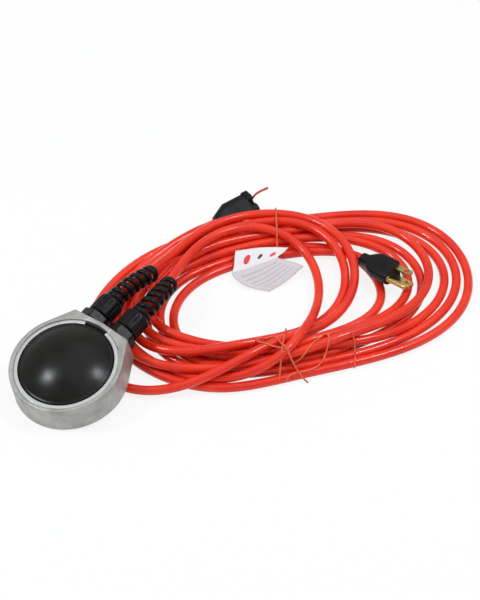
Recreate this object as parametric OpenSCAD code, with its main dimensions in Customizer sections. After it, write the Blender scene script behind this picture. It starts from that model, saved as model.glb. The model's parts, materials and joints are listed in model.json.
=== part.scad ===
// Round press-button station in a cast housing, switched in line between two flexible cords.
// Millimetres. Z = 0 is the table. +Y is the way the two cable glands point, seen from above.
// The station leans back on its own cords, so everything fixed to it is drawn level and then tilted.

/* [Housing] */
// Outer radius of the casting at its top face
housing_top_r = 47.7; // [44:0.1:54]
// How much wider the casting is at its base
housing_draft = 1.3; // [0.5:0.1:2]
// Height of the casting
housing_h = 25.5; // [25.4:0.1:32]
// How far the flat face that carries the glands is set into the round wall
gland_face_set = 1.7; // [1.2:0.1:2]
// Width of the gland face at the top of the casting
gland_face_w = 59; // [56:1:66]
// Width of the casting's rim around the machined well that the button moves in
rim_w = 3.9; // [3.6:0.1:4.6]
// Width of the ledge between the well and the cavity under it
well_ledge = 2.3; // [2:0.1:2.8]
// Angle that the station leans back by
tilt = 10; // [9.8:0.1:13]

/* [Base] */
// Thickness of the base plate
plate_t = 2; // [1.5:0.1:2.1]
// How much wider the base plate is than the well
plate_lip = 1; // [0.6:0.1:1.4]
// Thickness of the base gasket
gasket_t = 1; // [0.6:0.1:1.2]
// Distance of the base screws from the cavity's wall
base_screw_inset = 3.1; // [2.8:0.1:3.4]
// Thread radius of a base screw
base_screw_r = 1.5; // [1.25:0.25:1.75]

/* [Button] */
// Gap around the rubber button where it passes its retaining ring
button_gap = 0.5; // [0.4:0.1:0.8]
// Height of the button's crown above its shoulder
crown_h = 11.8; // [10:0.2:14]
// Thickness of the flange
flange_t = 1.6; // [1.2:0.1:1.8]
// Rubber thickness under the crown
button_wall = 3; // [2.5:0.1:3.6]
// Travel of the button
press_travel = 2.2; // [1.4:0.1:2.4]
// Thickness of the split retaining ring
ring_t = 2; // [1.6:0.1:2.2]
// Depth of the ring below the top face
ring_recess = 1.2; // [0.8:0.1:1.4]
// Width of the ring that stands inside the well
ring_band = 3.3; // [2.8:0.1:3.6]
// How far the ring sits in its groove
ring_seat = 0.8; // [0.5:0.1:1]
// Gap between the ring's two ends
ring_gap = 18.6; // [12:0.2:26]
// Thickness of the pressure plate in the button
press_plate_t = 2; // [1.6:0.1:2.2]
// Width of the button's wall around its pressure plate
press_plate_rim = 3.8; // [3.6:0.1:4.4]

/* [Guides and springs] */
// Distance of the guide posts from the pressure plate's edge
post_inset = 5.2; // [5:0.1:6]
// Radius of a guide post
post_r = 2; // [1.8:0.1:2.2]
// Mean radius of a return spring
spring_r = 3.6; // [3.3:0.1:4]
// Wire thickness of a return spring
spring_wire = 0.9; // [0.7:0.1:1]
// Turns of a return spring
spring_turns = 5; // [4:1:6]

/* [Snap switch] */
// Length of the snap switch
switch_l = 27.8; // [26:0.2:30]
// Width of the snap switch
switch_w = 10.3; // [9.5:0.1:11]
// Gap that is left between the pressed plate and the snap switch
switch_gap = 0.5; // [0.4:0.1:1]
// Radius of its plunger
plunger_r = 1.6; // [1.4:0.1:1.8]

/* [Glands] */
// Gap between the corners of the two glands' hexagons
gland_gap = 1.5; // [0.8:0.1:4]
// Metal left between a gland's thread and the ring's groove above it
gland_roof = 0.9; // [0.8:0.1:1.4]
// Metal left between a gland's thread and the gasket's ledge below it
gland_floor = 0.4; // [0.3:0.1:0.8]
// How far the gland's hexagon stands out past its thread
gland_hex_rim = 3; // [2.4:0.1:3.2]
// Length of the hexagon
gland_hex_l = 8; // [7:0.5:10]
// Length of the clamping nut
nut_l = 18.5; // [17:0.5:22]
// Radius of the clamping nut
nut_r = 11.5; // [11:0.1:11.9]
// Length of the spiral bend guard
guard_l = 49; // [42:1:52]
// Outer radius of the spiral where it leaves the nut
guard_r = 8.2; // [7.8:0.1:8.6]
// Outer radius of the spiral at its tip
guard_tip_r = 7.2; // [7.1:0.1:7.8]
// Turns of the spiral
guard_turns = 6; // [5:1:7]

/* [Cords] */
// Outer diameter of the cords
cord_d = 8.15; // [7.6:0.05:8.4]
// Diameter of one insulated conductor
wire_d = 2.4; // [2:0.1:2.5]
// Height of the coiled bundle
bundle_h = 16.3; // [15:0.1:16.4]

/* [Plug and connector] */
// Distance between the plug's two blades
blade_pitch = 12.7;
// Width of a blade
blade_w = 6.35;
// Thickness of a blade
blade_t = 1.5;
// Length of a blade
blade_l = 17.6; // [17:0.1:18]
// Distance from the blades to the ground pin
pin_offset = 11.9;
// Radius of the ground pin
pin_r = 2.4;
// Length of the ground pin with its round tip
pin_l = 20.6; // [20.3:0.1:21.4]
// Length of the plug's body
plug_l = 37; // [34:1:42]
// Length of the connector's body
connector_l = 42; // [39:1:46]
// Width of the block that holds the connector's slots
connector_w = 12.4; // [12:0.2:13.4]
// Thickness of the connector's body
connector_t = 21.4; // [21:0.2:23]

/* [Hidden] */

$fn = 96;
hull_fn = 32;
eps = 0.01;            // lets a cut run past the face that it opens
slip = 0.05;           // clearance of pieces pressed or seated in each other
air = 0.3;             // clearance of pieces that move past each other

// Radii, each from the one outside it
housing_base_r = housing_top_r + housing_draft;
gland_face_y = housing_top_r - gland_face_set;
well_r = housing_top_r - rim_w;
cavity_r = well_r - well_ledge;
plate_r = well_r + plate_lip;
base_screw_ring_r = cavity_r - base_screw_inset;
ring_in_r = well_r - ring_band;
button_r = ring_in_r - button_gap;
press_plate_r = button_r - press_plate_rim;
post_ring_r = press_plate_r - post_inset;

// Heights in the station
ledge_z = plate_t + gasket_t;
ring_top_z = housing_h - ring_recess;
ring_z = ring_top_z - ring_t;
flange_r = well_r - 0.4;
flange_top_z = ring_z - air;
flange_z = flange_top_z - flange_t;
shoulder_z = housing_h - 0.8;
well_floor_z = flange_z - press_travel - 0.4;
crown_top_z = shoulder_z + crown_h;
crown_edge_r = button_r - 1.8;
crown_sphere_r = (crown_edge_r * crown_edge_r + crown_h * crown_h) / (2 * crown_h);
crown_centre_z = crown_top_z - crown_sphere_r;
press_plate_z = flange_z;
press_plate_top_z = press_plate_z + press_plate_t;
switch_top_z = press_plate_z - press_travel - switch_gap;
switch_h = switch_top_z - plate_t;
plunger_top_z = press_plate_z - air;
gland_thread_r = (ring_z - gland_roof - ledge_z - gland_floor) / 2;
gland_z = ledge_z + gland_floor + gland_thread_r;
gland_hex_af = 2 * (gland_thread_r + gland_hex_rim);
gland_pitch = 2 * gland_hex_af / sqrt(3) + gland_gap;

// Station frame
cord_r = cord_d / 2;
wire_r = wire_d / 2;
lift = housing_base_r * sin(tilt);
gland_x = gland_pitch / 2;
washer_t = 1.2;
hex_y = gland_face_y + washer_t;
hex_end_y = hex_y + gland_hex_l;
nut_gap = 2;
nut_y = hex_end_y + nut_gap;
nut_end_y = nut_y + nut_l;
nut_tip_r = 8.6;
front_y = nut_end_y * cos(tilt) - (gland_z - nut_tip_r) * sin(tilt);
back_y = -housing_top_r * cos(tilt) - housing_h * sin(tilt);
station_y = -(front_y + back_y) / 2;

// The gland face meets the round wall along planes that touch it
corner_r = norm([gland_face_w / 2, gland_face_y]);
side_angle = atan2(gland_face_y, gland_face_w / 2) - acos(housing_top_r / corner_r);

// Ring positions
post_angles = [30, 150, 270];
plate_screw_angles = [90, 210, 330];
base_screw_angles = [45, 135, 225, 315];
plate_screw_ring_r = 20;
boss_r = 4;
boss_top_z = well_floor_z - 1.8;

function station(p) = [
    p[0],
    station_y + p[1] * cos(tilt) - p[2] * sin(tilt),
    lift + p[1] * sin(tilt) + p[2] * cos(tilt)
];
module in_station() {
    translate([0, station_y, lift]) rotate([tilt, 0, 0]) children();
}
module around(angles, r) {
    for (a = angles) rotate(a) translate([r, 0, 0]) children();
}
module along_y(r, y0, y1, x = 0, z = 0) {
    translate([x, y0, z]) rotate([-90, 0, 0]) cylinder(r = r, h = y1 - y0);
}
module rod(from, to, r, n = $fn) {
    d = to - from;
    translate(from)
        rotate([0, acos(d[2] / norm(d)), atan2(d[1], d[0])])
            cylinder(r = r, h = norm(d), $fn = n);
}

// Sweeps: each ring is [centre, first half axis, second half axis]
function unit(v) = v / norm(v);
function ring_points(rings, n) = [
    for (g = rings) for (k = [0 : n - 1])
        g[0] + cos(360 * k / n) * g[1] + sin(360 * k / n) * g[2]
];
function wall_faces(count, n, closed) = [
    for (i = [0 : count - (closed ? 1 : 2)]) for (k = [0 : n - 1])
        let (j = (i + 1) % count, m = (k + 1) % n)
        [i * n + k, i * n + m, j * n + m, j * n + k]
];
function cap_faces(count, n) = [
    [for (k = [n - 1 : -1 : 0]) k],
    [for (k = [0 : n - 1]) (count - 1) * n + k]
];
module sweep(rings, n, closed = false) {
    count = len(rings);
    polyhedron(
        points = ring_points(rings, n),
        faces = closed ? wall_faces(count, n, true) : concat(wall_faces(count, n, false), cap_faces(count, n)),
        convexity = 8
    );
}
function tangent(p, i) = unit(p[min(i + 1, len(p) - 1)] - p[max(i - 1, 0)]);
function side_of(t) = unit(cross([0, 0, 1], t));
function tube_rings(p, r) = [
    for (i = [0 : len(p) - 1])
        let (t = tangent(p, i), s = side_of(t))
        [p[i], r * s, r * cross(t, s)]
];
module tube(path, r, n) {
    sweep(tube_rings(path, r), n);
}
// Smooth curve through hand-placed points, each span cut into steps
function spline_at(p, i, u) =
    let (a = p[max(i - 1, 0)], b = p[i], c = p[i + 1], d = p[min(i + 2, len(p) - 1)])
    0.5 * (2 * b + (c - a) * u + (2 * a - 5 * b + 4 * c - d) * u * u + (3 * b - a - 3 * c + d) * u * u * u);
function smooth(p, steps) = concat(
    [for (i = [0 : len(p) - 2]) for (k = [0 : steps - 1]) spline_at(p, i, k / steps)],
    [p[len(p) - 1]]
);

// ---- Casting ----
module housing_outline(r) {
    face_x = (r - gland_face_y * sin(side_angle)) / cos(side_angle);
    touch = [r * cos(side_angle), r * sin(side_angle)];
    polygon([[0, 0], touch, [face_x, gland_face_y], [-face_x, gland_face_y], [-touch[0], touch[1]]]);
}
module gland_block() {
    function corners(r, z) =
        let (x = (r - gland_face_y * sin(side_angle)) / cos(side_angle))
        let (tx = r * cos(side_angle), ty = r * sin(side_angle))
        [[tx, ty, z], [x, gland_face_y, z], [-x, gland_face_y, z], [-tx, ty, z]];
    polyhedron(
        points = concat(corners(housing_base_r, 0), corners(housing_top_r, housing_h)),
        faces = [[0, 1, 2, 3], [7, 6, 5, 4], [0, 4, 5, 1], [1, 5, 6, 2], [2, 6, 7, 3], [3, 7, 4, 0]]
    );
}
module housing() {
    edge = 0.8;
    color("silver") in_station() difference() {
        union() {
            difference() {
                union() {
                    cylinder(r1 = housing_base_r, r2 = housing_top_r, h = housing_h);
                    gland_block();
                }
                translate([-housing_base_r, gland_face_y, -1]) cube([2 * housing_base_r, 10, housing_h + 2]);
                translate([0, 0, well_floor_z]) cylinder(r = well_r, h = housing_h);
                translate([0, 0, ledge_z]) cylinder(r = cavity_r, h = housing_h);
                translate([0, 0, -eps]) cylinder(r = plate_r + 0.2, h = ledge_z + eps);
                translate([0, 0, ring_z - slip]) cylinder(r = well_r + ring_seat + slip, h = ring_t + 2 * slip);
                translate([0, 0, housing_h - edge]) cylinder(r1 = well_r, r2 = well_r + edge + eps, h = edge + eps);
            }
            around(base_screw_angles, base_screw_ring_r)
                translate([0, 0, ledge_z]) cylinder(r = boss_r, h = boss_top_z - ledge_z);
        }
        around(base_screw_angles, base_screw_ring_r)
            translate([0, 0, ledge_z - eps]) cylinder(r = base_screw_r + slip, h = base_screw_l);
        for (x = [-gland_x, gland_x])
            along_y(gland_thread_r + slip, gland_face_y - 16, gland_face_y + 1, x, gland_z);
    }
}
module retaining_ring() {
    color("gainsboro") in_station() difference() {
        translate([0, 0, ring_z]) cylinder(r = well_r + ring_seat, h = ring_t);
        translate([0, 0, ring_z - 1]) cylinder(r = ring_in_r, h = ring_t + 2);
        translate([-ring_gap / 2, 0, ring_z - 1]) cube([ring_gap, 2 * well_r, ring_t + 2]);
    }
}

// ---- Base ----
module screw_hole(z, h) {
    around(base_screw_angles, base_screw_ring_r)
        translate([0, 0, z]) cylinder(r = base_screw_r + 0.2, h = h);
}
module countersinks(grow) {
    around(base_screw_angles, base_screw_ring_r)
        translate([0, 0, -eps]) cylinder(r1 = base_screw_r + 1.6 + grow, r2 = base_screw_r + grow, h = 1.6);
}
module base_plate() {
    color("dimgray") in_station() difference() {
        cylinder(r = plate_r, h = plate_t);
        screw_hole(-1, plate_t + 2);
        countersinks(0.2);
        around(post_angles, post_ring_r) translate([0, 0, -1]) cylinder(r = post_spigot_r + slip, h = plate_t + 2);
        for (x = rivet_xs) translate([x, rivet_y, -1]) cylinder(r = rivet_r + slip, h = plate_t + 2);
        translate([0, ground_y, -1]) cylinder(r = ground_screw_r + slip, h = plate_t + 2);
    }
}
module base_gasket() {
    color("black") in_station() difference() {
        translate([0, 0, plate_t]) cylinder(r = plate_r, h = gasket_t);
        difference() {
            translate([0, 0, plate_t - 1]) cylinder(r = cavity_r, h = gasket_t + 2);
            around(base_screw_angles, base_screw_ring_r) cylinder(r = boss_r, h = 2 * ledge_z);
        }
        screw_hole(0, 2 * ledge_z);
    }
}
base_screw_l = 9;
module base_screws() {
    color("lightgray") in_station() around(base_screw_angles, base_screw_ring_r) difference() {
        union() {
            translate([0, 0, 0.1]) cylinder(r1 = base_screw_r + 1.5, r2 = base_screw_r, h = 1.5);
            translate([0, 0, 0.1]) cylinder(r = base_screw_r, h = base_screw_l);
        }
        translate([-0.4, -base_screw_r - 1, 0]) cube([0.8, 2 * base_screw_r + 2, 0.7]);
    }
}

// ---- Button ----
module crown(r) {
    translate([0, 0, crown_centre_z]) sphere(r = r, $fn = 128);
}
module button_dome() {
    boss = 3.6;
    neck_in_r = press_plate_r + 0.2;
    inner_r = neck_in_r - 1.4;
    color("#2b2b29") in_station() difference() {
        union() {
            translate([0, 0, flange_z]) cylinder(r = flange_r, h = flange_t);
            translate([0, 0, flange_z]) cylinder(r = button_r, h = shoulder_z - flange_z - 0.5);
            translate([0, 0, shoulder_z - 0.5]) cylinder(r1 = button_r, r2 = button_r - 0.5, h = 0.5);
            intersection() {
                crown(crown_sphere_r);
                translate([0, 0, flange_z]) cylinder(r = crown_edge_r, h = crown_top_z);
            }
        }
        translate([0, 0, flange_z - eps]) cylinder(r = neck_in_r, h = press_plate_t + eps);
        difference() {
            intersection() {
                crown(crown_sphere_r - button_wall);
                translate([0, 0, flange_z]) cylinder(r = inner_r, h = crown_top_z);
            }
            around(plate_screw_angles, plate_screw_ring_r)
                translate([0, 0, press_plate_top_z]) cylinder(r = boss, h = crown_top_z);
        }
        around(plate_screw_angles, plate_screw_ring_r)
            translate([0, 0, press_plate_top_z - 1]) cylinder(r = plate_screw_r + slip, h = 6.5);
    }
}
plate_screw_r = 1.25;
module pressure_plate() {
    color("lightsteelblue") in_station() difference() {
        translate([0, 0, press_plate_z]) cylinder(r = press_plate_r, h = press_plate_t);
        around(post_angles, post_ring_r)
            translate([0, 0, press_plate_z - 1]) cylinder(r = post_r + air, h = press_plate_t + 2);
        around(plate_screw_angles, plate_screw_ring_r)
            translate([0, 0, press_plate_z - 1]) cylinder(r = plate_screw_r + 0.2, h = press_plate_t + 2);
    }
}
module plate_screws() {
    head_t = 1.5;
    color("lightgray") in_station() around(plate_screw_angles, plate_screw_ring_r) {
        translate([0, 0, press_plate_z - head_t]) cylinder(r = 2.6, h = head_t);
        translate([0, 0, press_plate_z - head_t]) cylinder(r = plate_screw_r, h = head_t + press_plate_t + 5);
    }
}

// ---- Guides and springs ----
post_top_z = press_plate_top_z - 1.2;
post_spigot_r = post_r - 0.5;
module guide_posts() {
    color("lightgray") in_station() around(post_angles, post_ring_r) {
        translate([0, 0, plate_t]) cylinder(r = post_r, h = post_top_z - plate_t);
        cylinder(r = post_spigot_r, h = plate_t + 1);
    }
}
module return_springs() {
    sides = 8;
    per_turn = 16;
    wire = spring_wire / 2;
    foot_z = plate_t + wire;
    rise = press_plate_z - wire - foot_z;
    n = per_turn * spring_turns;
    color("gray") in_station() around(post_angles, post_ring_r)
        sweep([
            for (i = [0 : n])
                let (a = 360 * i / per_turn, z = foot_z + rise * i / n, out = [cos(a), sin(a), 0])
                [spring_r * out + [0, 0, z], wire * out, [0, 0, -wire]]
        ], sides);
}

// ---- Snap switch ----
switch_hole_r = 1.55;
bracket_t = 1.2;
switch_nut_r = 2.6;
switch_holes = [[-11.1, plate_t + bracket_t + switch_nut_r + air], [11.1, switch_top_z - 2.7]];
terminal_z = 6;
terminal_l = 7;
terminal_w = 6.3;
terminal_t = 0.8;
terminals = [[-1, terminal_z], [1, terminal_z], [1, terminal_z + 5]];
module switch_case() {
    well_depth = 6.4;
    color("#30343a") in_station() difference() {
        translate([-switch_l / 2, -switch_w / 2, plate_t]) cube([switch_l, switch_w, switch_h]);
        for (h = switch_holes) along_y(switch_hole_r, -switch_w, switch_w, h[0], h[1]);
        translate([0, 0, switch_top_z - well_depth]) cylinder(r = plunger_r + 0.08, h = well_depth + 1);
    }
}
module switch_plunger() {
    color("firebrick") in_station() {
        translate([0, 0, switch_top_z - 3.9]) cylinder(r = plunger_r, h = plunger_top_z - switch_top_z + 3.4);
        translate([0, 0, plunger_top_z - 0.5]) cylinder(r1 = plunger_r, r2 = plunger_r - 0.5, h = 0.5);
    }
}
module switch_terminals() {
    color("goldenrod") in_station() for (t = terminals)
        translate([t[0] * (switch_l + terminal_l) / 2, 0, t[1]])
            cube([terminal_l, terminal_w, terminal_t], center = true);
}
bracket_h = switch_h - 0.7;
rivet_r = 1.5;
rivet_y = 12;
rivet_xs = [-8, 8];
module switch_bracket() {
    foot_l = 11;
    y0 = switch_w / 2;
    color("silver") in_station() difference() {
        union() {
            translate([-switch_l / 2, y0, plate_t]) cube([switch_l, bracket_t, bracket_h]);
            translate([-12, y0, plate_t]) cube([24, foot_l, bracket_t]);
        }
        for (h = switch_holes) along_y(switch_hole_r, y0 - 1, y0 + bracket_t + 1, h[0], h[1]);
        for (x = rivet_xs) translate([x, rivet_y, 0]) cylinder(r = rivet_r + slip, h = 10);
    }
}
module switch_screws() {
    head_l = 1.6;
    y0 = -switch_w / 2;
    y1 = switch_w / 2 + bracket_t;
    color("lightgray") in_station() for (h = switch_holes) {
        along_y(switch_hole_r - slip, y0 - head_l, y1 + 2.2, h[0], h[1]);
        along_y(2.5, y0 - head_l, y0, h[0], h[1]);
        along_y(switch_nut_r, y1, y1 + 1.8, h[0], h[1]);
    }
}
module bracket_rivets() {
    color("lightgray") in_station() for (x = rivet_xs) translate([x, rivet_y, 0]) {
        cylinder(r = rivet_r, h = plate_t + bracket_t + 0.5);
        translate([0, 0, plate_t + bracket_t]) cylinder(r = 2.7, h = 1.1);
    }
}

// ---- Cable glands ----
seal_y = hex_end_y + 4;
seal_l = 9.5;
seal_r = 7.4;
neck_r = 9.6;
neck_end_y = seal_y + seal_l - 1;
module gland_body(x) {
    color("#1c1c1c") in_station() difference() {
        translate([x, 0, 0]) union() {
            along_y(gland_thread_r, gland_face_y - 14, hex_y, 0, gland_z);
            translate([0, hex_y, gland_z]) rotate([-90, 0, 0])
                cylinder(r = gland_hex_af / sqrt(3), h = gland_hex_l, $fn = 6);
            along_y(neck_r, hex_end_y, neck_end_y, 0, gland_z);
        }
        along_y(cord_r + 0.4, 0, neck_end_y + 1, x, gland_z);
        along_y(seal_r + slip, seal_y, neck_end_y + 1, x, gland_z);
        translate([0, 0, -1]) cylinder(r = cavity_r, h = housing_h);
        translate([0, 0, well_floor_z]) cylinder(r = well_r, h = housing_h);
    }
}
module gland_washer(x) {
    color("black") in_station() difference() {
        along_y(gland_hex_af / 2 - 0.2, gland_face_y, hex_y, x, gland_z);
        along_y(gland_thread_r + slip, 0, hex_y + 1, x, gland_z);
    }
}
module gland_seal(x) {
    color("#222222") in_station() difference() {
        along_y(seal_r, seal_y, seal_y + seal_l, x, gland_z);
        along_y(cord_r + slip, 0, seal_y + seal_l + 1, x, gland_z);
    }
}
module fluted_outline() {
    flutes = 18;
    difference() {
        circle(r = nut_r);
        for (k = [1 : flutes]) rotate(360 * k / flutes) translate([nut_r + 0.62, 0]) circle(r = 1, $fn = 24);
    }
}
module gland_nut(x) {
    rim_l = 1.5;
    dome_l = 5;
    shank_end = nut_end_y - dome_l;
    color("#1a1a1a") in_station() translate([x, 0, gland_z]) difference() {
        union() {
            along_y(nut_r - 0.1, nut_y, nut_y + rim_l);
            translate([0, nut_y + rim_l, 0]) rotate([-90, 0, 0])
                linear_extrude(shank_end - nut_y - rim_l) fluted_outline();
            translate([0, shank_end, 0]) rotate([-90, 0, 0]) cylinder(r1 = nut_r, r2 = nut_r - 0.9, h = dome_l / 2);
            translate([0, shank_end + dome_l / 2, 0]) rotate([-90, 0, 0])
                cylinder(r1 = nut_r - 0.9, r2 = nut_tip_r, h = dome_l / 2);
        }
        along_y(neck_r + slip, 0, seal_y + seal_l);
        along_y(seal_r + 0.2, 0, seal_y + seal_l + 1);
        along_y(cord_r + 0.4, 0, nut_end_y + 1);
    }
}
// The spiral guard follows the cord as it leaves the nut and sags
guard_foot = [station([-gland_x, nut_end_y, gland_z]), station([gland_x, nut_end_y, gland_z])];
guard_tip = [guard_foot[0] + guard_l * [0.07, 1, -0.05], guard_foot[1] + guard_l * [-0.13, 0.99, -0.07]];
function guard_knee(k) = guard_foot[k] + guard_l / 2 * [0, cos(tilt), sin(tilt)];
function guard_axis(k, u) =
    (1 - u) * (1 - u) * guard_foot[k] + 2 * u * (1 - u) * guard_knee(k) + u * u * guard_tip[k];
function guard_dir(k, u) =
    unit((1 - u) * (guard_knee(k) - guard_foot[k]) + u * (guard_tip[k] - guard_knee(k)));
coil_half_w = 1.3;
coil_half_l = 1.6;
function guard_r_at(u) = guard_r + (guard_tip_r - guard_r) * u - coil_half_w;
function guard_ring(k, u, a) =
    let (t = guard_dir(k, u), s = side_of(t), out = cos(a) * s + sin(a) * cross(t, s))
    [guard_axis(k, u) + guard_r_at(u) * out, coil_half_w * out, coil_half_l * t];
module spiral_guard(k) {
    sides = 8;
    per_turn = 16;
    first = coil_half_l / guard_l;
    n = per_turn * guard_turns;
    color("#191919") {
        sweep([for (i = [0 : n]) guard_ring(k, first + (1 - 2 * first) * i / n, 360 * i / per_turn)], sides);
        for (u = [first, 1 - first])
            sweep([for (i = [0 : per_turn - 1]) guard_ring(k, u, 360 * i / per_turn + 8)], sides, true);
    }
}

// ---- Wiring in the cavity ----
jacket_end_y = gland_face_y - 10;
wire_step = 3;
conductor_r = 2.3;
module wire(points, mirrored = false) {
    s = mirrored ? -1 : 1;
    path = [for (p = smooth(points, wire_step)) station([s * p[0], p[1], p[2]])];
    tube(path, wire_r, 8);
}
receptacle_half_w = 3.8;
receptacle_x = switch_l / 2 + 4.6;
hot_route = [
    [-gland_x - conductor_r, jacket_end_y, gland_z], [-17.2, 30, 11.8], [-18, 22, 9.5],
    [-receptacle_x, 13, 6.8], [-receptacle_x, receptacle_half_w, terminal_z]
];
splice_y = 28;
splice_z = 10;
splice_depth = 8;
neutral_route = [
    [-gland_x + conductor_r / 2, jacket_end_y, gland_z + 2], [-11.5, 33.6, 13.6], [-6.5, 32.6, 12],
    [-2.6, 31.2, 10.6], [-1.3, splice_y, splice_z], [-1.3, splice_y - splice_depth, splice_z]
];
ground_y = 24.5;
lug_mouth_x = 10;
lug_z = plate_t + 2.2;
ground_route = [
    [-gland_x + conductor_r / 2, jacket_end_y, gland_z - 2], [-14.6, 32, 8.6], [-15.6, 28, 5.8],
    [-13.8, 25.2, lug_z + 0.2], [-lug_mouth_x, ground_y, lug_z]
];
module line_wire() {
    color("#262626") wire(hot_route);
}
module load_wire() {
    color("#262626") wire(hot_route, true);
}
module neutral_wires() {
    color("white") for (side = [false, true]) wire(neutral_route, side);
}
module ground_wires() {
    color("green") for (side = [false, true]) wire(ground_route, side);
}
module blade_receptacles() {
    color("lightgray") in_station() for (s = [-1, 1]) difference() {
        translate([s * receptacle_x, 0, terminal_z]) cube([7.4, 2 * receptacle_half_w, 3], center = true);
        translate([s * (switch_l + terminal_l) / 2, 0, terminal_z])
            cube([terminal_l + 2 * slip, terminal_w + 2 * slip, terminal_t + 2 * slip], center = true);
    }
}
module splice_cap() {
    color("lightyellow") in_station() difference() {
        along_y(3.4, splice_y - 11, splice_y, 0, splice_z);
        along_y(2.8, splice_y - splice_depth, splice_y + 1, 0, splice_z);
    }
}
ground_screw_r = 2;
lug_t = 0.8;
module ground_lugs() {
    color("lightgray") in_station() for (k = [0, 1]) {
        s = 2 * k - 1;
        z = plate_t + k * lug_t;
        difference() {
            translate([0, ground_y, z]) union() {
                cylinder(r = 3.9, h = lug_t);
                translate([s > 0 ? 0 : -6, -1.8, 0]) cube([6, 3.6, lug_t]);
                translate([s * 5, 0, lug_z - z]) rotate([0, s * 90, 0]) cylinder(r = 1.9, h = lug_mouth_x - 5);
            }
            translate([0, ground_y, 0]) cylinder(r = ground_screw_r + 0.1, h = 10);
        }
    }
}
module ground_screw() {
    stack = plate_t + 2 * lug_t;
    color("#7a8f4a") in_station() translate([0, ground_y, 0]) difference() {
        union() {
            translate([0, 0, 0.1]) cylinder(r = ground_screw_r, h = stack);
            translate([0, 0, stack]) cylinder(r = 3.6, h = 2);
        }
        translate([-5, -0.5, stack + 1.2]) cube([10, 1, 2]);
    }
}

// ---- Cords ----
plug_at = [151.5, 250, 20];
plug_turn = -8;          // the plug lies nose up on the cords under it
plug_tilt = 10;
plug_dir = [cos(plug_turn) * cos(plug_tilt), sin(plug_turn) * cos(plug_tilt), sin(plug_tilt)];
plug_side = [-sin(plug_turn), cos(plug_turn), 0];
plug_cord_y = -4;
connector_at = [-7.5, 251, connector_t / 2];
connector_turn = 75;
connector_cord_y = 3;
connector_dir = [cos(connector_turn), sin(connector_turn), 0];
connector_side = [-sin(connector_turn), cos(connector_turn), 0];
function connector_end(gap) =
    connector_at - (connector_l + gap) * connector_dir + connector_cord_y * connector_side;
// Hand-placed points; the first ones follow each gland's axis and its spiral guard
cord_sides = 10;
floor_z = cord_r + 0.03;
function gland_path(k) =
    let (x = (2 * k - 1) * gland_x)
    concat(
        [station([x, jacket_end_y, gland_z]), station([x, gland_face_y + 10, gland_z])],
        [for (i = [0 : 5]) guard_axis(k, i / 5)]
    );
lead_a_route = [[-14, 130, 33.5], [-17, 146, 28], [-19, 161, 21.5], [-20, 175, 14]];
lead_b_route = [[0, 126, 33], [-4, 142, 28], [-7, 158, 21.5], [-9, 172, 14]];
under_route = [
    [100, 100, floor_z], [96, 87, floor_z], [90, 68, floor_z], [83, 50, floor_z], [74, 34, floor_z],
    [64, 21, floor_z], [52, 11, floor_z], [38, 6, floor_z], [22, 6, floor_z], [6, 10, floor_z],
    [-8, 18, floor_z], [-22, 30, floor_z], [-33, 44, floor_z], [-41, 60, floor_z], [-45, 80, floor_z]
];
function plug_end(gap) = plug_at - (plug_l + gap) * plug_dir + plug_cord_y * plug_side;
plug_lead_route = [plug_end(0), plug_end(9), [95, 253, 9.5], [84, 253, 8]];
connector_lead_route = [connector_end(0), connector_end(9), [-21, 190, 8], [-17, 178, 8]];
module lead_a() {
    color("#e0452f") tube(concat(gland_path(0), lead_a_route), cord_r, cord_sides);
}
module lead_b() {
    color("#e0452f") tube(concat(gland_path(1), lead_b_route), cord_r, cord_sides);
}
module cord_under_station() {
    color("#e0452f") tube(under_route, cord_r, cord_sides);
}
module plug_lead() {
    color("#e0452f") tube(plug_lead_route, cord_r, cord_sides);
}
module connector_lead() {
    color("#e0452f") tube(connector_lead_route, cord_r, cord_sides);
}
// The bundle is a loose oval of turns with an open middle and two bays for the cord ends
bundle_lobes = [[-1, 87, 47], [64, 88, 50], [35, 200, 58], [128, 256, 76], [152, 247, 70]];
bundle_eye = [[36, 140, 26], [84, 168, 28]];
plug_bay = [[106, 248, 13], [160, 246, 17]];
strand_gap = [[150, 232, 18], [143, 182, 8]];
connector_bay = [[-23, 212, 15], [-6, 264, 19]];
module lobes(list) {
    hull() for (c = list) translate([c[0], c[1]]) circle(r = c[2], $fn = 48);
}
module bundle_outline() {
    difference() {
        lobes(bundle_lobes);
        lobes(bundle_eye);
        lobes(plug_bay);
        lobes(strand_gap);
        lobes(connector_bay);
    }
}
tie_w = 1.1;
ties = [[[84, 188], [18, 288]], [[104, 152], [148, 76]], [[146, 186], [200, 140]]];
module tie_slots(h) {
    for (t = ties) {
        reach = t[1] - t[0];
        translate([t[0][0], t[0][1], -1]) rotate(atan2(reach[1], reach[0]))
            translate([0, -tie_w / 2, 0]) cube([norm(reach), tie_w, h + 1]);
    }
}
module cord_bundle() {
    color("#e0452f") difference() {
        linear_extrude(bundle_h) bundle_outline();
        tie_slots(tie_w);
    }
}
module wire_ties() {
    color("darkorange") intersection() {
        tie_slots(bundle_h + tie_w);
        difference() {
            linear_extrude(bundle_h + tie_w) offset(delta = tie_w) bundle_outline();
            translate([0, 0, tie_w]) linear_extrude(bundle_h - tie_w) bundle_outline();
        }
    }
}
tag_t = 0.8;
module cord_tag() {
    hole = [49, 203];
    color("white") translate([0, 0, bundle_h]) linear_extrude(tag_t) difference() {
        polygon([
            [28, 182], [46, 202], [56, 206], [62, 196], [72, 190],
            [77, 163], [67, 157], [52, 156], [37, 158], [28, 163]
        ]);
        translate(hole) circle(r = 2.4);
    }
}

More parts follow.
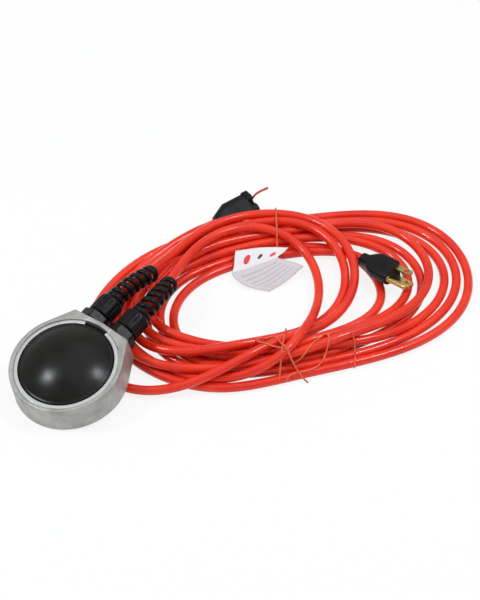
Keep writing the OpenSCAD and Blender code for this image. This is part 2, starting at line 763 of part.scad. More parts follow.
// ---- Plug ----
plug_root = 6;           // how deep the contacts sit in the body
pin_root_r = pin_r + 0.5; // the pin is thicker where the body holds it
module in_plug() {
    translate(plug_at) rotate([0, -plug_tilt, plug_turn]) children();
}
module disc_x(x, y, z, r, h) {
    translate([x, y, z]) rotate([0, 90, 0]) cylinder(r = r, h = h, $fn = hull_fn);
}
module plug_blade(y, z, grow) {
    translate([-plug_root, y - blade_w / 2 - grow, z - blade_t / 2 - grow])
        cube([plug_root + blade_l, blade_w + 2 * grow, blade_t + 2 * grow]);
}
module plug_body() {
    shoulder = 18;
    color("#20201f") in_plug() difference() {
        hull() {
            for (s = [-1, 1]) disc_x(-shoulder, 1.4, s * 7.4, 3.6, shoulder);
            disc_x(-shoulder, -pin_offset, 0, 5.8, shoulder);
            disc_x(-plug_l, plug_cord_y, 0, 6.2, 4);
        }
        for (s = [-1, 1]) plug_blade(0, s * blade_pitch / 2, slip);
        translate([-plug_root, -pin_offset, 0]) rotate([0, 90, 0]) cylinder(r = pin_root_r + slip, h = 2 * plug_root);
    }
}
module plug_blades() {
    hole_x = 11.9;
    nose = 1.6;
    color("#b9a552") in_plug() for (s = [-1, 1]) difference() {
        plug_blade(0, s * blade_pitch / 2, 0);
        translate([hole_x, 0, s * blade_pitch / 2 - 2]) cylinder(r = 2, h = 4);
        for (m = [-1, 1]) translate([blade_l, m * blade_w / 2, s * blade_pitch / 2])
            rotate(45) cube([nose * sqrt(2), nose * sqrt(2), 4], center = true);
    }
}
module plug_ground_pin() {
    color("#b9a552") in_plug() translate([0, -pin_offset, 0]) {
        translate([-plug_root, 0, 0]) rotate([0, 90, 0]) cylinder(r = pin_root_r, h = plug_root);
        rotate([0, 90, 0]) cylinder(r = pin_r, h = pin_l - pin_r);
        translate([pin_l - pin_r, 0, 0]) rotate([0, 90, 0]) sphere(r = pin_r);
    }
}

// ---- Connector ----
socket_y = 7.9;          // the slots' line beside the connector's axis
slot_w = 2.2;
slot_h = 7.4;
slot_l = 18;
ground_hole_l = 22;
nose_r = 5.5;
module in_connector() {
    translate(connector_at) rotate(connector_turn) children();
}
module along_connector(x0, x1) {
    translate([x0, 0, 0]) rotate([90, 0, 90]) linear_extrude(x1 - x0) children();
}
module socket_block(w, h, r) {
    hull() for (y = [-1, 1]) for (z = [-1, 1])
        translate([socket_y + y * (w / 2 - r), z * (h / 2 - r)]) circle(r = r, $fn = hull_fn);
}
module socket_nose(r) {
    translate([socket_y - pin_offset, 0]) circle(r = r, $fn = hull_fn);
}
module connector_body() {
    rim = 5.5;
    shoulder = -28;
    color("#1b1b1b") in_connector() difference() {
        union() {
            along_connector(-rim, 0) {
                socket_block(connector_w, connector_t, 3.4);
                socket_nose(nose_r);
                translate([0, -nose_r + 0.6]) square([socket_y - 2, 2 * nose_r - 1.2]);
            }
            hull() {
                along_connector(shoulder, -rim) socket_block(connector_w - 1.2, connector_t - 1.4, 4.4);
                along_connector(shoulder, -rim) socket_nose(nose_r - 0.5);
                disc_x(-connector_l, connector_cord_y, 0, 6, 3);
            }
        }
        for (s = [-1, 1]) connector_slot(s, slot_l, 0);
        translate([-ground_hole_l, socket_y - pin_offset, 0]) rotate([0, 90, 0])
            cylinder(r = pin_r + 0.3, h = ground_hole_l + 1);
    }
}
module connector_slot(s, from, to) {
    translate([-from, socket_y - slot_h / 2, s * blade_pitch / 2 - slot_w / 2])
        cube([from - to + eps, slot_h, slot_w]);
}
module connector_contacts() {
    gap = 1.7;
    color("#b9a552") in_connector() for (s = [-1, 1]) difference() {
        connector_slot(s, slot_l, 6);
        translate([1 - slot_l, socket_y - slot_h, s * blade_pitch / 2 - gap / 2])
            cube([slot_l, 2 * slot_h, gap]);
    }
}
module loose_wire() {
    route = [[-3, 6.5, 0], [1, 6.6, 1], [4, 6.8, 3.4], [8, 7, 5.6], [14, 6.4, 6.8], [21, 6, 6.6]];
    color("firebrick") in_connector() tube(smooth(route, 3), 1.1, 8);
}

module gland_body_a() { gland_body(-gland_x); }
module gland_body_b() { gland_body(gland_x); }
module gland_washer_a() { gland_washer(-gland_x); }
module gland_washer_b() { gland_washer(gland_x); }
module gland_seal_a() { gland_seal(-gland_x); }
module gland_seal_b() { gland_seal(gland_x); }
module gland_nut_a() { gland_nut(-gland_x); }
module gland_nut_b() { gland_nut(gland_x); }
module spiral_guard_a() { spiral_guard(0); }
module spiral_guard_b() { spiral_guard(1); }

housing();
base_plate();
base_gasket();
base_screws();
retaining_ring();
button_dome();
pressure_plate();
plate_screws();
guide_posts();
return_springs();
switch_case();
switch_plunger();
switch_terminals();
switch_bracket();
switch_screws();
bracket_rivets();
gland_body_a();
gland_body_b();
gland_washer_a();
gland_washer_b();
gland_seal_a();
gland_seal_b();
gland_nut_a();
gland_nut_b();
spiral_guard_a();
spiral_guard_b();
blade_receptacles();
line_wire();
load_wire();
neutral_wires();
ground_wires();
splice_cap();
ground_lugs();
ground_screw();
lead_a();
lead_b();
cord_bundle();
cord_under_station();
plug_lead();
connector_lead();
plug_body();
plug_blades();
plug_ground_pin();
connector_body();
connector_contacts();
loose_wire();
cord_tag();
wire_ties();
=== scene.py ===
# Round press-button station with its two red cords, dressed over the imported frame.
# Shapes are in millimetres until makeMesh turns them into metres; looks and lamps are in metres.
import json
import math

import bpy
import numpy as np
from mathutils import Matrix

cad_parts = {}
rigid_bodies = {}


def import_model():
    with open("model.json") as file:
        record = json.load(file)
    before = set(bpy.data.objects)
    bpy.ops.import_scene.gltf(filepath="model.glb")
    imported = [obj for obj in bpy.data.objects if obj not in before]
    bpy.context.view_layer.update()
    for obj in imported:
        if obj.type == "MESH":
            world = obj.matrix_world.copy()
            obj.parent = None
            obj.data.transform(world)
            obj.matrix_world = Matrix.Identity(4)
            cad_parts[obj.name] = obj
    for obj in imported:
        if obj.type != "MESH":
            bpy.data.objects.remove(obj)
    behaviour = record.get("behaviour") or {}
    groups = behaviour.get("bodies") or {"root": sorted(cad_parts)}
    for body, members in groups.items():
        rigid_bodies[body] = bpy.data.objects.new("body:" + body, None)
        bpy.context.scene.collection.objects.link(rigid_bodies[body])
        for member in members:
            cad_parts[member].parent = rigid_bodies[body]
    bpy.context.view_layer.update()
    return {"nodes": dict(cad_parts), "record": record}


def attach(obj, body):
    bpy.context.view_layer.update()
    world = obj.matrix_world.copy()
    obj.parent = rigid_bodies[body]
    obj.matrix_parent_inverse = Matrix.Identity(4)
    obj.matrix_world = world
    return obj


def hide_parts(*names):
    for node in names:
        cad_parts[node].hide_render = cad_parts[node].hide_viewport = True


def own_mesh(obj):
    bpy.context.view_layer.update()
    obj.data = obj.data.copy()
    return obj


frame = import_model()
mm = 0.001

# The station leans back on its cords: its own axes are tilted about X and lifted off the table
lean = {"tilt": math.radians(10), "y": -11.243, "lift": 8.509}


def station(points):
    # Station coordinates to table coordinates: a turn about X by the tilt, then a shift
    p = np.asarray(points, float)
    c, s = math.cos(lean["tilt"]), math.sin(lean["tilt"])
    y = lean["y"] + p[..., 1] * c - p[..., 2] * s
    z = lean["lift"] + p[..., 1] * s + p[..., 2] * c
    return np.stack([p[..., 0], y, z], -1)


def unit(v):
    v = np.asarray(v, float)
    return v / np.linalg.norm(v, axis=-1, keepdims=True)


def addObject(name, data):
    piece = bpy.data.objects.new(name, data)
    bpy.context.scene.collection.objects.link(piece)
    return piece


def aim(piece, place, target, upward, scale=1.0):
    # Stand a camera or a lamp at place, looking at target; upward settles its roll
    back = unit(np.subtract(place, target))
    right = unit(np.cross(upward, back))
    turn = np.eye(4)
    turn[:3, 0], turn[:3, 1], turn[:3, 2] = right, np.cross(back, right), back
    turn[:3, 3] = np.array(place) * scale
    piece.matrix_world = Matrix(turn.tolist())


# ---- camera ----
view = {"from": (594.6, -555.2, 925.6), "at": (70.2, 128.2, 33.6), "lens": 87.05, "sensor": 36, "far": 20}


def makeCamera():
    data = bpy.data.cameras.new("camera")
    data.lens = view["lens"]
    data.sensor_width = view["sensor"]
    data.clip_end = view["far"]
    camera = addObject("camera", data)
    aim(camera, view["from"], view["at"], (0, 0, 1), mm)
    bpy.context.scene.camera = camera


makeCamera()
print("camera placed")


# ---- mesh helpers ----
def signedVolume(points, faces):
    # Sum of the tetrahedra from the origin to each triangle of the fanned faces
    fans = np.array([(f[0], f[k], f[k + 1]) for f in faces for k in range(1, len(f) - 1)])
    a, b, c = points[fans].transpose(1, 0, 2)
    return np.einsum("ij,ij->", a, np.cross(b, c))


def makeMesh(name, shell, body="station", crease=None):
    # shell: points and faces; crease: degrees from which an edge between two faces stays sharp
    points, faces = shell
    pts = np.asarray(points, float) * mm
    if signedVolume(pts - pts.mean(0), faces) < 0:
        faces = [f[::-1] for f in faces]
    mesh = bpy.data.meshes.new(name)
    mesh.from_pydata(pts.tolist(), [], [list(map(int, f)) for f in faces])
    mesh.polygons.foreach_set("use_smooth", [True] * len(mesh.polygons))
    if crease is not None:
        mesh.set_sharp_from_angle(angle=math.radians(crease))
    mesh.update()
    piece = addObject(name, mesh)
    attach(piece, body)
    return piece


def addUv(piece, name, places):
    # places: the (u, v) of each vertex
    mesh = piece.data
    vertex = np.empty(len(mesh.loops), int)
    mesh.loops.foreach_get("vertex_index", vertex)
    mesh.uv_layers.new(name=name).data.foreach_set("uv", places[vertex].ravel())


def gridFaces(rows, cols, closeRows, closeCols, offset=0):
    # Quads between neighbouring grid points; a closed direction wraps round to its start
    i = np.arange(rows if closeRows else rows - 1)[:, None]
    j = np.arange(cols if closeCols else cols - 1)[None]
    i2, j2 = (i + 1) % rows, (j + 1) % cols
    quad = np.stack([i * cols + j, i * cols + j2, i2 * cols + j2, i2 * cols + j], -1)
    return (quad.reshape(-1, 4) + offset).tolist()


def gridShell(grid, closeRows=False):
    # A grid closed round its columns; open ends are capped by one face each
    rows, cols = grid.shape[:2]
    faces = gridFaces(rows, cols, closeRows, True)
    if not closeRows:
        faces.append(list(range(cols))[::-1])
        faces.append(list(range((rows - 1) * cols, rows * cols)))
    return grid.reshape(-1, 3), faces


def joinShells(shells):
    points, faces, start = [], [], 0
    for p, f in shells:
        points.append(p)
        faces += [[k + start for k in face] for face in f]
        start += len(p)
    return np.vstack(points), faces


def carriedFrames(path):
    # Two side vectors at each path point, turned as little as possible on the way; a path
    # that starts upright takes its first one from Y
    t = unit(np.gradient(path, axis=0))
    side = np.zeros_like(t)
    flat = np.cross(t[0], (0, 0, 1))
    side[0] = unit(flat if np.linalg.norm(flat) >= 1e-3 else np.cross(t[0], (0, 1, 0)))
    for k in range(1, len(t)):
        s = side[k - 1] - t[k] * np.dot(side[k - 1], t[k])
        side[k] = s / np.linalg.norm(s)
    return side, np.cross(t, side)


def aroundTurn(count):
    return np.arange(count) / count * 2 * math.pi


def tube(path, radius, sides, loop=False):
    # Point (u, a) = path(u) + radius (cos a side(u) + sin a up(u))
    side, up = carriedFrames(path)
    a = aroundTurn(sides)[None, :, None]
    out = np.cos(a) * side[:, None] + np.sin(a) * up[:, None]
    return gridShell(path[:, None] + radius * out, closeRows=loop)


def along(line, s, at):
    # Points of a polyline with measures s, read off at the measures in at
    return np.stack([np.interp(at, s, line[:, k]) for k in range(line.shape[1])], -1)


def resample(line, count):
    # That many points, evenly spread over the line's own points
    return along(line, np.linspace(0, 1, len(line)), np.linspace(0, 1, count))


def arcLength(line):
    return np.concatenate([[0], np.cumsum(np.linalg.norm(np.diff(line, axis=0), axis=1))])


def evenPath(points, spacing):
    # Points at equal steps of arc length along a polyline
    s = arcLength(points)
    n = max(2, int(round(s[-1] / spacing))) + 1
    return along(points, s, np.linspace(0, s[-1], n))


def smoothPath(points, spacing, steps=16):
    # Catmull-Rom: each span is the cubic through its two ends, with its neighbours' slopes
    p = np.asarray(points, float)
    a = np.vstack([2 * p[0] - p[1], p, 2 * p[-1] - p[-2]])
    u = np.linspace(0, 1, steps + 1)[:-1][None, :, None]
    b0, b1, b2, b3 = a[:-3, None], a[1:-2, None], a[2:-1, None], a[3:, None]
    cubic = (2 * b1 + (b2 - b0) * u + (2 * b0 - 5 * b1 + 4 * b2 - b3) * u**2
             + (3 * b1 - b0 - 3 * b2 + b3) * u**3) / 2
    return evenPath(np.vstack([cubic.reshape(-1, 3), p[-1:]]), spacing)


# ---- where the glands, the guards, the plug and the connector are ----
gland = {"x": (-14.606, 14.606), "z": 12.4, "hexStart": 47.2, "hexEnd": 55.2, "nutStart": 57.2,
         "nutEnd": 75.7}
guard = {"length": 49, "lean": ((0.07, 1, -0.05), (-0.13, 0.99, -0.07)), "turns": 6,
         "outer": 9.0, "tip": 8.0, "halfWide": 1.75, "halfLong": 2.6, "perTurn": 28, "sides": 12}
plug = {"at": (151.5, 250, 20), "turn": -8, "tilt": 10, "length": 37, "cordSide": -4,
        "balls": ((0, 5, 5.6), (0, -5, 5.6), (-11.9, 0, 5.8)), "rearBall": 6.2, "span": (-35, -2),
        "taper": 17}
connector = {"at": (-7.5, 251, 10.7), "turn": 75, "tilt": 0, "length": 42, "cordSide": 3,
             "balls": ((7.9, 4.8, 5.6), (7.9, -4.8, 5.6), (-4, 0, 5.2)), "rearBall": 6, "span": (-40, -3),
             "taper": 12}
cordSize = {"diameter": 8.15, "spacing": 4.0, "sides": 20, "start": 36, "inNut": 56, "toMoulding": 12,
            "onTable": 4}
cordR = cordSize["diameter"] / 2
tableZ = cordR + 0.03


def guardAxis(k, u):
    # Quadratic curve from the nut's mouth, along the gland's axis, to the guard's tip
    u = np.asarray(u, float)[..., None]
    foot = station((gland["x"][k], gland["nutEnd"], gland["z"]))
    knee = foot + guard["length"] / 2 * np.array((0, math.cos(lean["tilt"]), math.sin(lean["tilt"])))
    tip = foot + guard["length"] * np.array(guard["lean"][k])
    return (1 - u) ** 2 * foot + 2 * u * (1 - u) * knee + u**2 * tip


def inEnd(end, local):
    # A point or array in the plug's or connector's own axes, carried to the table's
    turn, tilt = math.radians(end["turn"]), math.radians(end["tilt"])
    ahead = np.array((math.cos(turn) * math.cos(tilt), math.sin(turn) * math.cos(tilt), math.sin(tilt)))
    side = np.array((-math.sin(turn), math.cos(turn), 0.0))
    axes = np.stack((ahead, side, np.cross(ahead, side)))
    return np.array(end["at"]) + np.asarray(local, float) @ axes


# ---- the two cords ----
# Listed points, a few centimetres apart; every turn is clockwise as seen from above.
# A point without a height lies on the table
routeOne = {
    "overTheTop": [
        (-14, 128, 28), (-19, 159, 22.5), (-18, 191, 20), (-7, 221, 18.5), (13, 245, 17.5), (41, 259, 18),
        (73, 261, 19), (103, 250, 19.5), (124, 228, 14.5), (133, 198, 10.5), (132, 166, 13),
        (124, 136, 18.5), (113, 106, 21.5), (102, 76, 20), (86, 49, 13)],
    "underTheStation": [
        (66, 27, 5), (39, 10), (8, 11), (-19, 29), (-37, 55)],
    "outerTurn": [
        (-47, 85), (-50, 117), (-46, 148), (-35, 178), (-17, 205), (2, 230), (22, 255), (45, 278),
        (67, 301), (92, 320), (121, 332), (153, 329), (181, 315), (202, 292), (214, 262), (213, 230),
        (202, 201), (188, 172), (169, 146), (149, 121), (130, 95), (113, 69), (88, 50)],
    "toTheConnector": [
        (57, 43), (25, 41), (-6, 49), (-28, 72), (-38, 102, 4.5), (-38, 134, 6), (-34, 162, 9),
        (-30, 182, 11)],
}
routeTwo = {
    "innerTop": [
        (2, 127, 28), (-6, 157, 25), (-5, 188, 23.5), (10, 215, 21.5), (36, 231, 19), (66, 230, 14.5),
        (92, 214, 10), (109, 189, 11.5), (121, 161, 19.5), (130, 132, 25.5), (129, 102, 19.5),
        (113, 77, 11), (88, 60, 5), (58, 52), (27, 49), (-3, 57)],
    "wideTurn": [
        (-23, 81), (-30, 111), (-30, 142), (-23, 172), (-10, 201), (9, 225), (29, 249), (50, 272),
        (73, 293), (97, 313), (127, 322), (157, 317), (183, 301), (199, 274), (202, 243), (195, 213),
        (184, 184), (168, 157), (149, 133), (128, 109), (108, 85), (83, 67), (53, 60)],
    "thirdTurn": [
        (22, 66), (-1, 85), (-13, 114, 5), (-13, 145, 8), (0, 173, 9.5), (17, 199, 10.5), (36, 224, 11),
        (58, 246, 11), (82, 265, 9), (109, 280, 5), (140, 277), (164, 257, 4.5), (169, 227, 5.5),
        (162, 197, 9), (151, 168, 13.5), (138, 140, 17), (119, 116, 13.5), (94, 97, 12), (68, 80, 12),
        (41, 65, 12), (10, 66, 12)],
    "fourthTurn": [
        (-13, 86, 12), (-21, 116, 13), (-20, 147, 13), (-8, 175, 9), (11, 200, 5), (30, 224), (52, 247),
        (73, 270), (99, 287), (130, 291), (158, 279), (178, 256), (183, 225), (175, 195), (162, 167),
        (145, 140), (124, 118), (105, 93), (80, 74), (50, 69)],
    "underThePlug": [
        (21, 81), (0, 104), (-7, 134), (1, 164), (17, 191), (35, 216), (56, 239), (82, 255), (113, 254),
        (143, 245), (159, 220), (151, 191), (136, 164), (120, 137, 5), (99, 113, 7), (75, 94, 9),
        (48, 79, 12), (17, 75, 12.5)],
    "betweenTheGuards": [
        (-7, 92, 13.5), (-13, 122, 14.5), (-11, 153, 16.5), (-3, 183, 15), (12, 210, 12), (33, 233, 11),
        (54, 256, 10.5), (72, 282, 12), (98, 299, 12), (128, 302, 10.5), (156, 290, 10.5),
        (176, 266, 11.5), (181, 236, 12.5), (175, 205, 14), (165, 176, 16.5), (152, 148, 18.5),
        (135, 121, 16), (115, 97, 13.5), (94, 75, 12), (72, 53, 12), (43, 41, 12), (12, 41, 12)],
    "innerPair": [
        (-14, 57, 12), (-28, 84, 12), (-33, 115, 12), (-30, 146, 12), (-22, 176, 12), (-9, 204, 12.5),
        (10, 229, 14.5), (34, 248, 16.5), (64, 254, 18), (94, 246, 15), (116, 226, 7.5), (127, 197),
        (126, 166, 7), (118, 137, 13.5), (103, 110, 18.5), (83, 87, 19), (61, 65, 15.5), (33, 53, 13),
        (3, 60, 9.5)],
    "eighthTurn": [
        (-16, 84, 5), (-22, 114), (-21, 146), (-14, 176), (1, 203), (21, 227), (42, 251), (64, 273),
        (88, 293), (115, 307), (146, 309), (174, 295), (190, 269, 5.5), (193, 238, 7), (186, 208, 8.5),
        (176, 179, 10.5), (158, 153, 11), (132, 137, 8), (111, 114, 5.5), (90, 91), (63, 77)],
    "toThePlug": [
        (33, 84), (13, 107), (7, 138), (14, 168), (30, 195), (48, 220), (71, 241, 5), (88, 252, 8.5)],
}
# Lengths, and weights that are shares of a move; strides are numbers of points with a weight;
# leftAtEnd: what remains of the fall and of the hold in the last round
settle = {"rounds": 260, "fall": 0.1, "hold": 0.03, "leftAtEnd": (0.3, 0.4), "holdUpright": 0.2,
          "gap": 0.05, "push": 1.3, "pushes": 3,
          "length": 0.35, "strides": ((1, 0.2), (2, 0.2), (4, 0.2), (8, 0.15)),
          "under": (75, 40, 7), "holdUnder": 0.3, "nutRadius": 11.6, "nearGland": 125,
          "ownStrand": 14, "search": 11, "searchEvery": 8, "heldAtEnd": 4, "pastOwnBody": 12,
          "ease": {"rounds": 44, "strides": (1, 2, 4), "weight": 0.3, "push": 0.7, "span": 19, "rise": 1.6}}


def bodyBalls(end, count=9):
    # Balls that fill a body and close in on its cord at the rear, as (x, y, z, radius)
    (rear, front), side, small = end["span"], end["cordSide"], end["rearBall"]
    balls = []
    for s in np.linspace(rear, front, count):
        w = min(max((s - rear) / end["taper"], 0), 1)
        for y, z, r in end["balls"]:
            balls.append([*inEnd(end, (s, side + (y - side) * w, z * w)), small + (r - small) * w])
    return balls


def routePoints(k, route, end):
    # Through the gland and its guard, over every turn, then straight into the end's body
    inside = [station((gland["x"][k], cordSize[key], gland["z"])) for key in ("start", "inNut")]
    turns = [(*p, cordSize["onTable"])[:3] for turn in route.values() for p in turn]
    entry = [(-end["length"] - gap, end["cordSide"], 0) for gap in (cordSize["toMoulding"], 0)]
    return [*inside, *guardAxis(k, np.arange(6) / 5), *turns, *inEnd(end, entry)]


def curvatureChange(x, cord, stride):
    # Second difference of the second difference at a stride: zero where the bend is even, and
    # zero where the stride would leave the cord
    inner, before, after = slice(stride, -stride), slice(None, -2 * stride), slice(2 * stride, None)
    known, both = np.zeros((2, len(x)), bool)
    known[inner] = cord[after] == cord[before]
    both[inner] = known[after] & known[before] & known[inner]
    for kept in (known, both):
        bend = np.zeros_like(x)
        bend[inner] = (x[before] + x[after]) / 2 - x[inner]
        bend[~kept] = 0
        x = bend
    return x


def settleCords(paths):
    # Each round: fall, hold to the route, even out the bends, push apart what overlaps,
    # stay above the table, and bring each step back to its own length
    count = [len(p) for p in paths]
    x = np.vstack(paths)
    start = x.copy()
    cord = np.repeat(np.arange(len(paths)), count)
    arc = np.concatenate([np.arange(n) for n in count]) * cordSize["spacing"]
    radius = np.full(len(x), cordR)
    free = np.ones(len(x))
    balls = np.array(bodyBalls(plug) + bodyBalls(connector))
    half = len(balls) // 2
    ownBalls = np.zeros((len(x), len(balls)), bool)
    nutEndY = station((0, gland["nutEnd"], gland["z"]))[1]
    for k in (0, 1):
        near = (cord == k) & (arc < settle["nearGland"])
        inNut = near & (x[:, 1] < nutEndY)
        inGuard = near & ~inNut & (x[:, 1] <= guardAxis(k, 1.0)[1] + 1)
        radius[inNut] = settle["nutRadius"]
        radius[inGuard] = guard["tip"]
        free[inNut | inGuard] = 0
        own = np.flatnonzero(cord == k)
        free[own[-settle["heldAtEnd"]:]] = 0
        # A cord passes freely through the balls of the body it ends in
        ownBalls[own[-settle["pastOwnBody"]:], (1 - k) * half:(2 - k) * half] = True
    # The turn under the station carries it, so it is held more firmly
    under = (cord == 0) & (x < settle["under"]).all(1)
    hold = np.where(under, settle["holdUnder"], settle["hold"])
    rounds = settle["rounds"]
    for step in range(rounds):
        cool = 1 - step / rounds
        if step % settle["searchEvery"] == 0:
            square = (x * x).sum(1)
            apart = square[:, None] + square[None] - 2 * x @ x.T
            i, j = np.nonzero(np.triu(apart < (cordSize["diameter"] + settle["search"]) ** 2))
            pair = (cord[i] != cord[j]) | (np.abs(arc[i] - arc[j]) > settle["ownStrand"])
            pair &= (free[i] + free[j]) > 0
            i, j = i[pair], j[pair]
        falling, holding = (left + (1 - left) * cool for left in settle["leftAtEnd"])
        x[:, 2] -= settle["fall"] * free * falling
        pull = (start - x) * hold[:, None] * np.array((1, 1, settle["holdUpright"]))
        x += pull * free[:, None] * holding
        for stride, weight in settle["strides"]:
            x -= weight * curvatureChange(x - start, cord, stride) * free[:, None]
        for _ in range(settle["pushes"]):
            x = pushApart(x, i, j, radius, free)
            x = pushOut(x, balls, ownBalls, free)
        links = x[1:] - x[:-1]
        size = np.linalg.norm(links, axis=1)
        fix = (size - cordSize["spacing"]) / size * settle["length"] * (cord[1:] == cord[:-1])
        x[:-1] += links * (fix * free[:-1])[:, None]
        x[1:] -= links * (fix * free[1:])[:, None]
    # Last, small kinks are eased by evening out the bends themselves at short strides, and
    # the held points give way the more the nearer they are to the free ones
    ease = settle["ease"]
    ramp = np.full(ease["span"], ease["rise"] / ease["span"])
    soft = np.maximum(free, np.convolve(free, ramp, "same").clip(0, 1))
    for _ in range(ease["rounds"]):
        for stride in ease["strides"]:
            x -= ease["weight"] * curvatureChange(x, cord, stride) * soft[:, None]
        apart = pushApart(x, i, j, radius, free)
        x = pushOut(x + ease["push"] * (apart - x), balls, ownBalls, free)
    over = radius[i] + radius[j] - np.linalg.norm(x[i] - x[j], axis=1)
    print("cords settled, deepest overlap left %.2f mm" % over.max())
    return np.split(x, np.cumsum(count)[:-1])


def pushApart(x, i, j, radius, free):
    # Each overlapping pair parts along the line between its points, by the mean of its moves
    d = x[i] - x[j]
    size = np.linalg.norm(d, axis=1)
    need = radius[i] + radius[j] + settle["gap"]
    hit = size < need
    a, b, d, size, need = i[hit], j[hit], d[hit], size[hit], need[hit]
    share = free[a] + free[b]
    move = d * ((need - size) / np.maximum(size, 1e-6) / share)[:, None]
    total = np.zeros_like(x)
    times = np.zeros(len(x))
    for index, sign in ((a, 1), (b, -1)):
        np.add.at(total, index, sign * move * free[index][:, None])
        np.add.at(times, index, 1)
    return x + settle["push"] * total / np.maximum(times, 1)[:, None]


def pushOut(x, balls, own, free):
    # Out of the bodies' balls, and no lower than the table allows
    d = x[:, None] - balls[None, :, :3]
    size = np.linalg.norm(d, axis=2)
    deep = np.where(own, 0, np.maximum(balls[None, :, 3] + cordR - size, 0))
    hits = np.maximum((deep > 0).sum(1), 1)[:, None]
    x = x + (d * (deep / size)[:, :, None]).sum(1) / hits * free[:, None]
    x[:, 2] = np.where(free > 0, np.maximum(x[:, 2], tableZ), x[:, 2])
    return x


def cordPiece(name, path):
    # A tube whose UV map runs along the cord in metres and once round it
    sides = cordSize["sides"]
    piece = makeMesh(name, tube(path, cordR, sides))
    row, col = np.divmod(np.arange(len(path) * sides), sides)
    addUv(piece, "alongCord", np.stack([row * cordSize["spacing"] * mm, col / sides], -1))
    return piece


routes = ((0, routeOne, connector), (1, routeTwo, plug))
cordPaths = settleCords([smoothPath(routePoints(*r), cordSize["spacing"]) for r in routes])
cordOne = cordPiece("cord_to_connector", cordPaths[0])
cordTwo = cordPiece("cord_to_plug", cordPaths[1])
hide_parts("lead_a", "cord_under_station", "connector_lead")
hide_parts("lead_b", "cord_bundle", "plug_lead")
print("cords made")


# ---- round and rounded shapes ----
def outline(circles, count, directions=1440):
    # Outline round a set of circles: in each direction it reaches as far as the furthest
    # circle, and the point there is reach times the direction plus its slope times the tangent
    a = np.linspace(0, 2 * math.pi, directions + 1)[:-1]
    n = np.stack([np.cos(a), np.sin(a)], -1)
    t = np.stack([-np.sin(a), np.cos(a)], -1)
    c = np.asarray(circles, float)
    reach = n @ c[:, :2].T + c[None, :, 2]
    best = reach.argmax(1)
    slope = (t * c[best, :2]).sum(1)
    points = reach.max(1)[:, None] * n + slope[:, None] * t
    closed = np.vstack([points, points[:1]])
    s = arcLength(closed)
    return along(closed, s, np.arange(count) / count * s[-1])


def turned(profile, count, place, shape=None):
    # Ring i, angle a -> radius r_i * shape(i, a) at height h_i along the axis of place
    p = np.asarray(profile, float)
    a = aroundTurn(count)
    r = np.repeat(p[:, :1], count, 1)
    if shape is not None:
        r = shape(p, a) * r
    h = np.repeat(p[:, 1:2], count, 1)
    return place(r * np.cos(a), r * np.sin(a), h)


def uprightStation(x, y, z):
    return station(np.stack([x, y, z], -1))


def alongGland(k):
    # The gland's axis runs along the station's Y: across is X and Z, height is Y
    return lambda x, z, y: station(np.stack([gland["x"][k] + x, y, gland["z"] + z], -1))


def fillet(a, corner, b, steps=5):
    # Quadratic curve from a to b that is pulled towards the corner
    u = np.linspace(0, 1, steps)[:, None]
    a, corner, b = (np.array(p, float) for p in (a, corner, b))
    return ((1 - u) ** 2 * a + 2 * u * (1 - u) * corner + u**2 * b).tolist()


# ---- casting ----
casting = {"topR": 47.7, "draft": 1.3, "high": 25.5, "faceHalf": 29.5, "faceY": 46.0, "faceRound": 1.6,
           "foot": ((0.5, 0), (0.1, 0.25), (0, 0.7)), "wall": (3, 23.8, 8), "edge": 1.3, "rim": 1.8,
           "well": 43.8, "wellEdge": 0.7, "wellHeights": (22.6, 17.8), "cavity": 41.5,
           "cavityHeights": (17.8, 3, 0.02), "count": 240}


def castingRow(inset, z):
    # The round wall and the flat gland face's two corners, drawn in by the inset at height z
    grow = casting["draft"] * (1 - z / casting["high"]) - inset
    corner = casting["faceRound"]
    x, y = casting["faceHalf"] - corner, casting["faceY"] - corner
    circles = [(0, 0, casting["topR"] + grow), (x, y, corner + grow), (-x, y, corner + grow)]
    xy = outline(circles, casting["count"])
    return np.c_[xy, np.full(len(xy), z)]


def roundRow(r, z):
    a = aroundTurn(casting["count"])
    return np.stack([r * np.cos(a), r * np.sin(a), np.full_like(a, z)], -1)


def makeCasting():
    # Up the wall, over the rounded top edge, down the well and then down the cavity
    high, edge, well, bevel = (casting[k] for k in ("high", "edge", "well", "wellEdge"))
    rows = [castingRow(inset, z) for inset, z in casting["foot"]]
    rows += [castingRow(0, z) for z in np.linspace(*casting["wall"])]
    rows += [castingRow(i, z) for i, z in fillet((0, high - edge), (0, high), (edge, high), 6)]
    rows += [castingRow(casting["rim"], high)]
    rows += [roundRow(*p) for p in fillet((well + bevel, high), (well, high), (well, high - bevel), 4)]
    rows += [roundRow(well, z) for z in casting["wellHeights"]]
    rows += [roundRow(casting["cavity"], z) for z in casting["cavityHeights"]]
    piece = makeMesh("casting", gridShell(station(np.array(rows)), closeRows=True), crease=50)
    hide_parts("housing")
    return piece


castingPiece = makeCasting()

# ---- retaining ring ----
ring = {"inner": 40.5, "outer": 43.7, "low": 22.3, "top": 24.3, "gap": 23.0, "turn": 3.0, "edge": 0.3,
        "count": 220}


def makeRing():
    # A flat section with eased edges, carried round a circle that stays open at the gap
    half = math.asin(ring["gap"] / 2 / ring["outer"])
    a = math.radians(90 + ring["turn"]) + np.linspace(half, 2 * math.pi - half, ring["count"])
    e, lo, hi, r0, r1 = (ring[k] for k in ("edge", "low", "top", "inner", "outer"))
    section = fillet((r0, lo + e), (r0, lo), (r0 + e, lo), 3)
    section += fillet((r1 - e, lo), (r1, lo), (r1, lo + e), 3)
    section += fillet((r1, hi - e), (r1, hi), (r1 - e, hi), 4)
    section += fillet((r0 + e, hi), (r0, hi), (r0, hi - e), 4)
    r, z = np.array(section).T
    x, y = np.cos(a)[:, None] * r, np.sin(a)[:, None] * r
    shell = gridShell(uprightStation(x, y, np.repeat(z[None], len(a), 0)))
    piece = makeMesh("split_ring", shell, crease=40)
    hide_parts("retaining_ring")
    return piece


